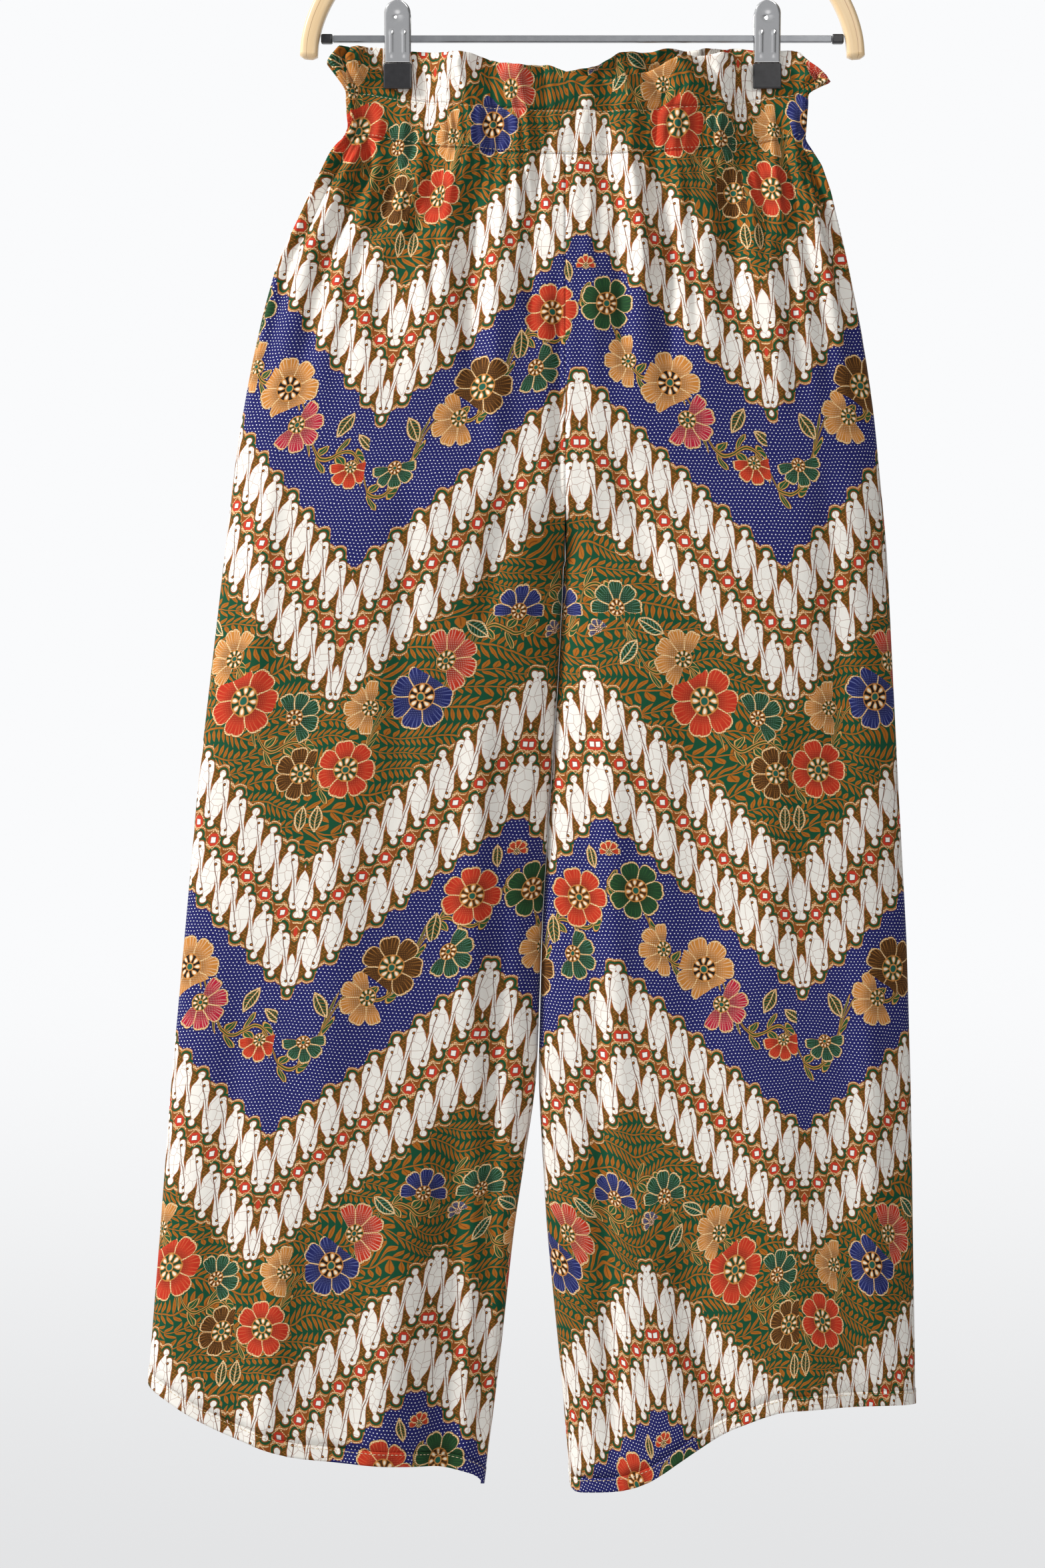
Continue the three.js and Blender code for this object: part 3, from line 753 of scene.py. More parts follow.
def pocket_recess(side, face, z):
    """How far the front panel's edge lies back from the side seam, as a share of the panel."""
    if face == "back":
        return np.zeros_like(z)
    down = np.clip((POCKET_TOP - z) / (POCKET_TOP - POCKET_BOTTOM), 0, 1)
    return POCKET_RECESS[side] * np.maximum(0, np.sin(math.pi * down)) ** 0.6


def panel_place(side, face):
    top = LOWER_STITCH_Z + WAIST_LAP
    drop = top - (HEM_Z + HEM_DEPTH)

    def place(across, down):
        share, turned = seam_columns(across, PANEL_COLUMNS)
        z = top - drop * (EVEN_ROWS * down + (1 - EVEN_ROWS) * down * down)
        recess = pocket_recess(side, face, z)
        u = recess + (1 - recess) * share
        pocket = (recess > 0) & (share < 0.5)
        inset = np.where(turned, np.where(pocket, POCKET_TURN, SEAM_TURN), 0)
        inset = inset + WAIST_TUCK * (down < 0.002)
        points = cloth(side, face, u, z, inset=inset)
        return points, print_places(side, face, u, z, points[:, 2])

    return place


for face in FACES:
    for side in SIDES:
        cloth_sheet(face + "_" + side + "_panel", PANEL_COLUMNS, PANEL_ROWS,
                    panel_place(side, face), front_sign(face))
print("panels", len(pieces))

# %% [markdown]
# ## Casing and ruffle
# Above the panels the cloth is doubled round an elastic, and it stands up beyond the elastic as a ruffle.
# Each is one strip across the front or the back. The sheets have several columns to each small pucker.

# %% Waist strips
WAIST_COLUMNS = 360
WAIST_ROWS = 20
WAIST_TURN = 2.0
WAIST_SPACE = 0.02
DOUBLED_CLOTH = 0.9


def waist_halves(share):
    """The two halves of a waist strip, with their places across their quarter of the tube."""
    yield "left", share <= 0.5, 2 * share[share <= 0.5]
    yield "right", share > 0.5, 2 - 2 * share[share > 0.5]


def waist_place(face, top, bottom):
    def place(across, down):
        share, turned = seam_columns(across, WAIST_COLUMNS)
        z = top + (bottom - top) * down
        points = np.zeros((len(z), 3))
        places = np.zeros((len(z), 2))
        for side, mine, u in waist_halves(share):
            inset = np.where(turned[mine], WAIST_TURN, 0)
            points[mine] = cloth(side, face, u, z[mine], WAIST_SPACE, inset)
            places[mine] = print_places(side, face, u, z[mine], points[mine, 2])
        return points, places

    return place


for face in FACES:
    for name, top, bottom in (("elastic_casing", UPPER_STITCH_Z, LOWER_STITCH_Z),
                              ("waist_ruffle", RUFFLE_TOP_Z, UPPER_STITCH_Z)):
        cloth_sheet(face + "_" + name, WAIST_COLUMNS, WAIST_ROWS, waist_place(face, top, bottom),
                    front_sign(face), DOUBLED_CLOTH)
print("waist strips done")

# %% [markdown]
# ## Hems and pocket facings
# The hems are the same cloth turned up once and sewn, so each is a thicker band under its panel. Behind each
# pocket mouth lies a facing of the same print, set in by the thickness of the pocket's layers.

# %% Hems and facings
HEM_COLUMNS = 100
HEM_ROWS = 6
HEM_LIFT = 0.3
HEM_TURN = 2.0
HEM_STANDS_OUT = 0.15
HEM_CLOTH = 1.3
FACING_COLUMNS = 16
FACING_ROWS = 40
FACING_CLOTH = 0.5
FACING_SET_IN = 1.9
FACING_TOP_SHARE = 0.06
FACING_SHARE = 0.03
FACING_EASE = 0.25


def hem_place(side, face):
    def place(across, down):
        share, turned = seam_columns(across, HEM_COLUMNS)
        z = HEM_Z + HEM_DEPTH * (1 - down) + HEM_LIFT
        points = cloth(side, face, share, z, inset=np.where(turned, HEM_TURN, -HEM_STANDS_OUT))
        return points, print_places(side, face, share, z, points[:, 2])

    return place


def facing_place(side):
    def place(across, down):
        z = POCKET_TOP + (POCKET_BOTTOM - POCKET_TOP) * down
        u = (pocket_recess(side, "front", z) + FACING_TOP_SHARE * (1 - down)) * across
        u = u + FACING_SHARE * across
        points = cloth(side, "front", u, z, inset=FACING_SET_IN * ramp(0, FACING_EASE, across))
        return points, print_places(side, "back", u, z, points[:, 2])

    return place


for face in FACES:
    for side in SIDES:
        cloth_sheet(face + "_" + side + "_hem", HEM_COLUMNS, HEM_ROWS, hem_place(side, face),
                    front_sign(face), HEM_CLOTH)
for side in SIDES:
    cloth_sheet(side + "_pocket_facing", FACING_COLUMNS, FACING_ROWS, facing_place(side), -1, FACING_CLOTH)
print("sheets", len(pieces))

# %% [markdown]
# ## The flowers between the zigzags
# Between two zigzags lies a band of flowers, on dotted blue or on leafy green by turns. Each flower is placed
# on one repeat of the print. A row gives its centre, radius and kind, the way that it faces in
# degrees, and the dyes of its petals, its strokes and its heart.

# %% Tables of the flowers
RED, CRIMSON, GREEN, BROWN = "B8321E", "B01E38", "1F4026", "4A2E12"
BEIGE, NAVY, CREAM, TEAL = "C07E38", "20265E", "E8DCC4", "6FA894"
CORAL, SKY = "D8774A", "7C86BE"
BLACK = "1C1712"
BLUE_FIELD = (
    (-23, 42, 21, "full", 0, RED, CORAL, BROWN),
    (21, 47, 20, "full", 0, GREEN, "3A6A30", BROWN),
    (-10, 72, 8, "leaf", 100, GREEN, BEIGE, BROWN),
    (4, 76, 8, "half", 90, RED, CORAL, GREEN),
    (-33, 1, 18, "half", -25, GREEN, TEAL, BROWN),
    (-72, -11, 22, "full", 0, BROWN, BEIGE, GREEN),
    (-86, -33, 20, "half", -155, BEIGE, CREAM, GREEN),
    (-46, 18, 11, "leaf", 90, GREEN, BEIGE, BROWN),
    (-119, -40, 10, "leaf", 120, GREEN, BEIGE, BROWN),
    (-128, -68, 15.5, "half", -80, GREEN, TEAL, BROWN),
    (38, 4, 18, "half", 180, BEIGE, CREAM, GREEN),
    (69, -11, 22, "full", 0, BEIGE, CREAM, BLACK),
    (81, -37, 20, "half", -35, CRIMSON, CREAM, GREEN),
    (119, -36, 10, "leaf", 60, GREEN, BEIGE, BROWN),
    (129, -67, 15.5, "half", -85, RED, CORAL, GREEN),
    (137, -49, 8, "leaf", -40, GREEN, BEIGE, BROWN),
)
GREEN_FIELD = (
    (23, 37, 18, "half", 90, GREEN, TEAL, BROWN),
    (-21, 35, 18, "half", 90, NAVY, SKY, BROWN),
    (9, 22, 8, "half", 120, NAVY, CREAM, NAVY),
    (47, 24, 10, "leaf", -30, GREEN, TEAL, BROWN),
    (30, 7, 10, "leaf", -130, GREEN, TEAL, BROWN),
    (-49, 23, 10, "leaf", 150, GREEN, TEAL, BROWN),
    (69, 2, 20, "half", 150, BEIGE, CREAM, GREEN),
    (82, -27, 24, "full", 0, RED, CORAL, GREEN),
    (120, -39, 18, "half", 30, GREEN, TEAL, BROWN),
    (131, -78, 18, "full", 0, BROWN, BEIGE, GREEN),
    (-127, -75, 20, "full", 0, RED, CORAL, GREEN),
    (-117, -32, 18, "half", 180, BEIGE, CREAM, GREEN),
    (-82, -24, 22, "full", 0, NAVY, SKY, BLACK),
    (-68, 1, 22, "half", 30, RED, CREAM, GREEN),
    (136, -110, 9, "leaf", -90, GREEN, BEIGE, BROWN),
    (-143, -110, 9, "leaf", -90, GREEN, BEIGE, BROWN),
)
FLOWER_KINDS = {"full": 0.0, "half": 0.5, "leaf": 1.0}
FULL_PETALS = 7
HALF_PETALS = 8
FLOWER_SHRINK = 0.93


def dye_list(number, shades):
    """A Color Ramp of flat steps that gives each numbered flower its own colour."""
    stops = [(place / len(shades), shade) for place, shade in enumerate(shades)]
    return colour_ramp((number + 0.5) / len(shades), stops, "CONSTANT")


def centre_and_size(flower):
    along, up, radius = flower[:3]
    return along, up, FLOWER_SHRINK / radius


def nearest_flower(along, up, is_green):
    """Place in the nearest flower, as shares of its radius, and that flower's number."""
    for count, (blue, green) in enumerate(zip(BLUE_FIELD, GREEN_FIELD)):
        centre_x, centre_y, size = [
            math_field("MULTIPLY_ADD", is_green, there - here, here)
            for here, there in zip(centre_and_size(blue), centre_and_size(green))
        ]
        x = (along - centre_x) * size
        y = (up - centre_y) * size
        away = length(x, y)
        if count == 0:
            best, place, number = away, vector(x, y), 0.0
            continue
        nearer = away < best
        place = choose_vector(nearer, vector(x, y), place)
        number = choose(nearer, float(count), number)
        best = lesser(best, away)
    return place, best, number + is_green * len(BLUE_FIELD)


print("flowers in one repeat:", len(BLUE_FIELD) + len(GREEN_FIELD))

# %% [markdown]
# ## Drawing the print
# The zigzag holds two rows of leaning white comb shapes, head to foot, in green and brown, with a red lane of
# white squares between the rows. Half a cell is drawn once, in coordinates that lean with it, and its other
# half is the same after half a turn. All layers are flat dyes painted one over another, in lines of wax.

# %% Zigzag cells
SLOPE = 0.94
REPEAT = 205
BAND_HALF = 52.5
ROW_CENTRE = 27.2
LEAN = 0.225
CELLS = 10
SHEAR = 1 - LEAN * SLOPE
CELL = HALF_WAVE / CELLS * SHEAR
STEP = SLOPE * HALF_WAVE / CELLS
UPPER_SHIFT = 0.555
LOWER_SHIFT = 0.64
SQUARE_SHIFT = 0.83
ROW_SWAY = 2.5
KNOB_UP = 24.0
KNOB_RADIUS = 2.3
FULLER = 0.12
FOOT_DOWN = 17.1
FOOT_SIDE = 1.75
FOOT_RADIUS = 2.7
STEM_EDGE = ((-17.1, 4.3), (-12.4, 4.2), (-7.6, 2.8), (-3.8, 1.75), (0, 1.3), (5.7, 1.0), (9.5, 0.3))
LEAF_EDGE = ((4.8, 11), (10.5, 9.6), (13, 9.0), (16.2, 7.4), (18.1, 5.9), (20, 3.9), (22.4, 1.4), (24.2, -2))
STEM_MIDDLE = -3.8
STEM_HALF = 13.3
MID_LINE_HALF = 16.4
MID_LINE_WIDTH = 0.3
EYE_SIDE = 0.9
EYE_DOWN = 16
CURL_WAVE = 2.4
CURL_SWING = 1.1
PATCH_DOWN = 7.0
PATCH_WIDE = 2.1
PATCH_TALL = 4.8
BROWN_EDGE = 0.9
GREEN_EDGE = 2.6
LINE_EDGE = 3.0
BEAD_LINE = 3.8
DOTTED_EDGE = 4.6


def comb_cell(h, level):
    """Distances to the white comb, its green border and its brown patch, for one cell of a row."""
    phase = (h * SHEAR - level * LEAN) / CELL
    upper = level > math_field("COSINE", (phase + UPPER_SHIFT) * (2 * math.pi)) * ROW_SWAY
    turned = phase + choose(upper, UPPER_SHIFT, LOWER_SHIFT)
    rise = level - choose(upper, ROW_CENTRE, -ROW_CENTRE)
    leaning_x = (fraction(turned) - 0.5) * CELL
    y = rise + (leaning_x + rise * LEAN) * (SLOPE / SHEAR)
    side = math_field("SIGN", leaning_x)
    x = abs(leaning_x)
    y = y * side
    knob_rise = y - math_field("SIGN", y) * KNOB_UP
    knob = length(x + knob_rise * LEAN, abs(y) - KNOB_UP) - KNOB_RADIUS
    foot = length(x - FOOT_SIDE + (y + FOOT_DOWN) * LEAN, y + FOOT_DOWN) - FOOT_RADIUS
    stem = greater(x - from_table(y, STEM_EDGE), abs(y - STEM_MIDDLE) - STEM_HALF)
    near_side = tuple((STEP - place, CELL - edge) for place, edge in reversed(LEAF_EDGE))
    leaf = greater(from_table(y, near_side) - x, x - from_table(y, LEAF_EDGE)) * 0.8
    comb = lesser(lesser(knob, foot), lesser(stem, leaf)) - FULLER
    high = y > STEP / 2
    patch_y = y - choose(high, STEP + PATCH_DOWN, -PATCH_DOWN)
    patch_x = x - CELL / 2
    patch = (length(patch_x / PATCH_WIDE, patch_y / PATCH_TALL) - 1) * PATCH_WIDE
    curl = abs(patch_x + wave(patch_y * CURL_WAVE) * CURL_SWING)
    border = lesser(lesser(knob, foot), patch + 1.5)
    mid_line = greater(abs(leaning_x) - MID_LINE_WIDTH, abs(y) - MID_LINE_HALF)
    curl_eye = length(x - EYE_SIDE + (y + EYE_DOWN) * LEAN, y + EYE_DOWN)
    return {"comb": comb, "border": border, "patch": patch, "curl": curl, "mid_line": mid_line,
            "eye": curl_eye}


print("cell", round(CELL, 2), "mm wide, rising", round(STEP, 2), "mm each")

# %% [markdown]
# A flower is drawn in polar coordinates round its centre. Its petals are notched at their tips and parted by
# thin gaps, with a ring of beads round a dark heart. A half flower keeps only the petals on the side that it
# faces, and a leaf uses the same place, pointed at both ends.

# %% Flowers and leaves
LEAF_WIDTH = 0.46
PETAL_TIP = 0.97
NOTCH = 0.26
CLEFT = 0.05
HALF_TURN_SEEN = 1.75
CALYX = 0.30
HEART = 0.40
BEADS = 8
BEAD_RING = 0.27
FULL_CIRCLE = 2 * math.pi
OUTLINE, GOLD, PALE_GOLD, AMBER = "1C1712", "B87A38", "EBD3A4", "C98A4A"


def flower_layers(under, place, away, number, dots):
    """The nearest flower or leaf, painted over the field."""
    rows = BLUE_FIELD + GREEN_FIELD
    facts = [(FLOWER_KINDS[row[3]], row[4] / 360 + 0.5, FLOWER_SHRINK / row[2], 1) for row in rows]
    kind, faces, shrink = parts(dye_list(number, facts))
    petal_dye, stroke_dye, heart_dye = [
        dye_list(number, [ink(row[column]) for row in rows]) for column in (5, 6, 7)
    ]
    x, y, _ = parts(place)
    angle = math_field("ARCTAN2", y, x) - (faces - 0.5) * FULL_CIRCLE
    angle = wrapped(angle, -math.pi, math.pi)
    is_leaf = kind > 0.75
    is_half = (kind > 0.25) * (1 - is_leaf)
    blossom = 1 - is_leaf
    petals = choose(is_half, HALF_PETALS, FULL_PETALS)
    part = abs(wrapped(angle * petals / FULL_CIRCLE, -0.5, 0.5))
    tip = PETAL_TIP - math_field("POWER", part * 2, 4.0) * NOTCH - within(part, 0.0, 0.12) * CLEFT
    gap = (0.5 - part) * FULL_CIRCLE / petals * away / shrink
    behind = greater(abs(angle) - HALF_TURN_SEEN, 0) * is_half * 2
    calyx = (away - CALYX) * is_half + (1 - is_half) * 9
    edge = lesser(away - tip + behind, calyx)
    leaf_x = away * math_field("COSINE", angle)
    leaf_y = abs(away * wave(angle))
    leaf_edge = leaf_y - (1 - leaf_x * leaf_x) * LEAF_WIDTH
    rim = choose(is_leaf, leaf_edge, edge) / shrink
    vein = choose(is_leaf, leaf_y / shrink, gap)
    bands = abs(wrapped(choose(is_leaf, leaf_x * 4 + leaf_y * 3, part * 7 + 0.25), -0.5, 0.5))
    outer = choose(is_leaf, 1.0, within(0.66 - away, 0.0, 0.25))
    shaded = paint(
        petal_dye,
        ("140F0C", within(away, 0.55, 0.25) * 0.4 * blossom),
        (stroke_dye, within(bands, 0.12, 0.12) * outer * 0.5),
        (stroke_dye, within(dots, 0.26, 0.1) * (1 - outer) * 0.4),
    )
    core = away * (1 + is_half * 0.35)
    inside = blossom * within(core, HEART, 0.03)
    beads = wrapped(angle * (BEADS / FULL_CIRCLE), -0.5, 0.5)
    bead = length(beads * 0.235, (core - BEAD_RING) * 0.62)
    return paint(
        under,
        (OUTLINE, within(rim, 0.5) * 0.8),
        (GOLD, within(rim, 0.1)),
        (PALE_GOLD, within(rim, 0.1) * within(dots, 0.42, 0.15)),
        (shaded, within(rim, -1.15) * within(0.45 - vein)),
        (GOLD, inside),
        (heart_dye, blossom * within(core, HEART - 0.03, 0.02)),
        (AMBER, within(bead, 0.074, 0.02) * inside),
        (CREAM, within(bead, 0.044, 0.02) * inside),
        (AMBER, within(core, 0.14, 0.02) * blossom),
        ("1F5A4A", within(core, 0.10, 0.02) * blossom),
    )


print("petals", FULL_PETALS, "or", HALF_PETALS)

# %% [markdown]
# The ground under the flowers is dark blue with rows of white dots, or green with rows of small brown ferns
# whose lines are bent by a slow noise. One stem winds through each band, with small leaves along it.

# %% Blue and green ground
DOT_ACROSS = 2.8
DOT_DOWN = 2.35
DOT_RADIUS = 0.38
FERN_BEND = 30
FERN_HALF_ROW = 7.0
LEAFLET_HALF = 2.6
LEAFLET_WIDTH = 1.7
STEM_SWING = 14
STEM_WAVE = 58
STEM_LEAF = 10
STEM_LEAF_WIDTH = 2.7
FERN_BROWN, STEM_GOLD = "A4601C", "C08A48"


def field_ground(along, up, u, v, is_green, spot):
    """Dotted blue or leafy green cloth between the zigzags, with a winding stem."""
    shift = fraction(math_field("FLOOR", v / DOT_DOWN + 0.5) / 2)
    dot_x = wrapped(u / DOT_ACROSS + shift, -0.5, 0.5) * DOT_DOWN
    dot_y = wrapped(v / DOT_DOWN, -0.5, 0.5) * DOT_DOWN
    blue = paint(ink("1E2060"), ("E4E6EE", within(length(dot_x, dot_y), DOT_RADIUS, 0.14)))
    bend_u, bend_v, _ = parts(noise(spot, 0.022, 0.5, "Color"))
    fern_u = u + (bend_u - 0.5) * FERN_BEND
    fern_v = v + (bend_v - 0.5) * FERN_BEND
    side = abs(wrapped(fern_v, -FERN_HALF_ROW, FERN_HALF_ROW))
    leaflet = abs(wrapped(fern_u - side * 0.8, -LEAFLET_HALF, LEAFLET_HALF))
    blade = leaflet - wave((side - 0.3) * (math.pi / 6.4)) * LEAFLET_WIDTH
    green = paint(
        ink("0F4A30"),
        (FERN_BROWN, within(blade)),
        ("6B3F12", within(leaflet, 0.16) * within(side, 5.2)),
        (FERN_BROWN, within(side, 0.45)),
    )
    from_stem = abs(up - wave(along * (FULL_CIRCLE / STEM_WAVE)) * STEM_SWING)
    leaf_along = abs(wrapped(along - from_stem * 0.7, -STEM_WAVE / 8, STEM_WAVE / 8))
    leaf_edge = leaf_along - wave((from_stem - 0.8) * (math.pi / STEM_LEAF)) * STEM_LEAF_WIDTH
    leaf_here = within(from_stem, STEM_LEAF)
    stem = from_stem * 0.7
    return paint(
        blue,
        (green, is_green),
        (OUTLINE, within(leaf_edge, 1.0) * leaf_here),
        ("CF9C58", within(leaf_edge, 0.6) * leaf_here),
        ("24502C", within(leaf_edge, -0.35) * leaf_here),
        (STEM_GOLD, within(leaf_along, 0.2) * leaf_here * within(leaf_edge)),
        (OUTLINE, within(stem, 1.25)),
        (STEM_GOLD, within(stem, 0.95)),
        ("2E4A20", within(stem, 0.4)),
    )


print("dots", DOT_DOWN, "mm apart, ferns", 2 * FERN_HALF_ROW)

# %% [markdown]
# The whole print starts from the UV map that was measured along the cloth, a little unsteady as hand work
# is. The height within one repeat tells a zigzag from a field. The dyes are painted from the ground up.

# %% The whole print
UNSTEADY = 2.4
DOTTING = 1.25
FLOWER_SPAN = (-150.0, 140.0)
LANE_HALF = 12
SQUARE_HALF = 1.7
DIAMOND_HALF = 5.9
CRACKLE_SCALE = 0.15
LANE_BROWN, BORDER_BROWN, PATCH_BROWN, WAX_CREAM = "8A4A1C", "B5702F", "5E4212", "EBC795"


def batik_colour():
    """The whole print over the UV map that was measured along the cloth."""
    flat = field("ShaderNodeUVMap", uv_map="print")
    flat_u, flat_v, _ = parts(flat)
    wobble_u, wobble_v, _ = parts(noise(flat, 70, 2, "Color"))
    u = flat_u * 1000 + (wobble_u - 0.5) * UNSTEADY
    v = flat_v * 1000 + (wobble_v - 0.5) * UNSTEADY
    spot = vector(u, v)
    from_peak = math_field("PINGPONG", u, float(HALF_WAVE))
    h = HALF_WAVE - from_peak
    rise = v + from_peak * SLOPE
    level = wrapped(rise + BAND_HALF, -REPEAT / 2, REPEAT / 2)
    is_green = fraction(math_field("FLOOR", (rise + BAND_HALF) / REPEAT) / 2) * 2
    field_up = choose(level > 0, level - BAND_HALF, level + (REPEAT - BAND_HALF))
    along = wrapped(u, *FLOWER_SPAN)
    place, away, number = nearest_flower(along, field_up - from_peak * SLOPE, is_green)
    middle = (REPEAT - 2 * BAND_HALF) / 2
    dots = length(wrapped(u / DOTTING, -0.5, 0.5), wrapped(v / DOTTING, -0.5, 0.5))
    colour = field_ground(along, field_up - middle, u, v, is_green, spot)
    colour = flower_layers(colour, place, away, number, dots)
    lean_back = (h * SHEAR - level * LEAN) / CELL + (1 - SQUARE_SHIFT)
    square_x = (wrapped(lean_back, -0.5, 0.5) * CELL + level * LEAN) / SHEAR
    square_y = level + square_x * SLOPE
    square = greater(abs(square_x), abs(square_y))
    diamond = abs(square_x) + abs(square_y)
    lane = within(abs(level), LANE_HALF)
    waxed = within(dots, 0.46, 0.12)
    cell = comb_cell(h, level)
    border, patch = cell["border"], cell["patch"]
    cracks = field("ShaderNodeTexVoronoi", {"Vector": spot, "Scale": CRACKLE_SCALE}, "Distance",
                   voronoi_dimensions="2D", feature="DISTANCE_TO_EDGE")
    white = paint(ink("ECE9E2"), ("8E5238", within(cracks, 0.025, 0.03) * 0.62))
    colour = paint(
        colour,
        (LANE_BROWN, lane),
        (LANE_BROWN, within(border, DOTTED_EDGE)),
        (WAX_CREAM, within(abs(border - BEAD_LINE), 0.45) * waxed),
        (BORDER_BROWN, within(border, LINE_EDGE)),
        ("1A4A2A", within(border, GREEN_EDGE)),
        (PATCH_BROWN, within(border, BROWN_EDGE)),
        (PATCH_BROWN, within(patch, 0.8)),
        ("A4682C", within(patch, -0.1) * within(cell["curl"], 0.38)),
        (WAX_CREAM, lane * within(abs(diamond - 6.6), 0.45) * waxed),
        ("C23A26", within(square, 3.9) * within(diamond, DIAMOND_HALF)),
        ("7A2A16", within(square, SQUARE_HALF + 0.4)),
        ("EFEDE6", within(square, SQUARE_HALF)),
        (LANE_BROWN, within(cell["comb"], 0.75)),
        (white, within(cell["comb"])),
        ("6A3A22", within(cell["mid_line"])),
        ("4A2A12", within(cell["eye"], 1.15)),
        (BORDER_BROWN, within(cell["eye"], 0.5)),
    )
    return colour, spot


print("one repeat", REPEAT, "mm high,", 2 * HALF_WAVE, "mm wide")

# %% [markdown]
# The cloth under the print is matte cotton. Its weave is too fine for geometry, so it is a bump, and a slow
# noise darkens the dyes a little here and there.

# %% Printed cotton
WEAVE = {"scale": 900, "strength": 0.25, "depth": 0.0004}


def batik_cloth(name):
    """Cotton with the batik print: matte, a little fuzzy, with its weave as fine bumps."""
    material, shader = new_material(name)
    colour, spot = batik_colour()
    weave = noise(field("ShaderNodeTexCoord", output="Object"), WEAVE["scale"], dimensions="3D")
    feed(shader, {
        "Base Color": paint(colour, ("000000", (noise(spot, 0.012, 3) - 0.3) * 0.16)),
        "Roughness": 0.86,
        "Specular IOR Level": 0.12,
        "Sheen Weight": 0.03,
        "Sheen Roughness": 0.6,
        "Normal": bumps(weave, WEAVE["strength"], WEAVE["depth"]),
    })
    print(name, "has", len(material.node_tree.nodes), "nodes")
    return material


batik = batik_cloth("printed_cotton")
for piece in pieces.values():
    piece.data.materials.append(batik)

# %% [markdown]
# ## Sewing
# Cream thread runs along both edges of the casing, round the hems and along the pocket mouths. Each stitch is
# a short flattened bead laid on the cloth by the same formulas, so the rows follow every gather.

# %% Rows of stitches
STITCH_LENGTH = 2.5
STITCH_GAP = 0.6
THREAD_WIDE = 0.5
THREAD_FLAT = 0.36
CASING_OUT = -0.5
PANEL_OUT = -0.35
HEM_OUT = -0.85
CASING_LINES = (UPPER_STITCH_Z - 1.2, LOWER_STITCH_Z + 1.6)
HEM_LINE_Z = HEM_Z + HEM_DEPTH - 1.5
POCKET_LINE_IN = 3
POCKET_LINE_SHARE = 0.02
THREAD_SHADES = ((0.72, 0.58, 0.38), (0.5, 0.38, 0.22))


def run_lengths(points):
    """How far along a line each of its points lies."""
    return np.concatenate([[0], np.cumsum(np.linalg.norm(np.diff(points, axis=0), axis=1))])


def sew(name, lines):
    """Stitches laid along lines of points on the cloth, in millimetres, as one piece."""
    form = bmesh.new()
    count = 0
    for line in lines:
        gone = run_lengths(line)
        starts = np.arange(1, gone[-1] - STITCH_LENGTH, STITCH_LENGTH + STITCH_GAP)
        ends = [np.stack([np.interp(starts + more, gone, line[:, axis]) for axis in range(3)], axis=1)
                for more in (0, STITCH_LENGTH)]
        count += len(starts)
        for start, end in zip(*ends):
            run = Vector(end - start)
            turn = run.to_track_quat("X", "Z").to_matrix().to_4x4()
            size = Matrix.Diagonal((run.length * MM, THREAD_FLAT * MM, THREAD_WIDE * MM, 1))
            place = Matrix.Translation(Vector((start + end) / 2) * MM) @ turn @ size
            bmesh.ops.create_uvsphere(form, u_segments=6, v_segments=4, radius=0.5, matrix=place)
    print(name, count, "stitches")
    return new_piece(name, form)


def waist_line(face, z):
    share = np.linspace(0.004, 0.996, 900)
    line = np.zeros((len(share), 3))
    for side, mine, u in waist_halves(share):
        line[mine] = cloth(side, face, u, np.full(len(u), float(z)), WAIST_SPACE, CASING_OUT)
    return line


def hem_line(side, face):
    u = np.linspace(0.01, 0.99, 400)
    return cloth(side, face, u, np.full(len(u), HEM_LINE_Z), inset=HEM_OUT)


def pocket_line(side):
    z = np.linspace(POCKET_TOP - POCKET_LINE_IN, POCKET_BOTTOM + POCKET_LINE_IN, 200)
    u = pocket_recess(side, "front", z) + POCKET_LINE_SHARE
    return cloth(side, "front", u, z, inset=PANEL_OUT)


rows_to_sew = {face + "_waist_stitches": [waist_line(face, z) for z in CASING_LINES] for face in FACES}
rows_to_sew |= {face + "_hem_stitches": [hem_line(side, face) for side in SIDES] for face in FACES}
rows_to_sew["pocket_stitches"] = [pocket_line(side) for side in SIDES]
threads = {name: sew(name, lines) for name, lines in rows_to_sew.items()}
thread_finish = mottled_material("cream_thread", THREAD_SHADES, 900, 0.7, 0.3)
for thread in threads.values():
    thread.data.materials.append(thread_finish)

# %% [markdown]
# ## The wooden bow and the hook
# The bow is one strip of pale birch, steamed and bent, with rounded corners, and a darker glue line shows
# that it is laminated. The hook is plated wire, bent round the rail. Both are tubes: a closed outline is
# carried along a curve in the plane of the hanger, then the ends are closed.

# %% Bow and hook
HALF_HANGER = 192
WOOD_WIDTH = 12.5
WOOD_DEPTH = 12
WOOD_TOP_Z = -82
WOOD_SQUARENESS = 4.5
WOOD_END_ROUND = 1.2
HOOK_WIRE = 4
HOOK_INSIDE = 19
HOOK_END_ROUND = 1.6
HOOK_TURN = (-62, 205)
BOW_HALF = ((0, -209), (-1.5, -194), (-7, -176), (-19, -155), (-44, -129), (-86, -106), (-140, -92))
KNOT_STEPS = 24


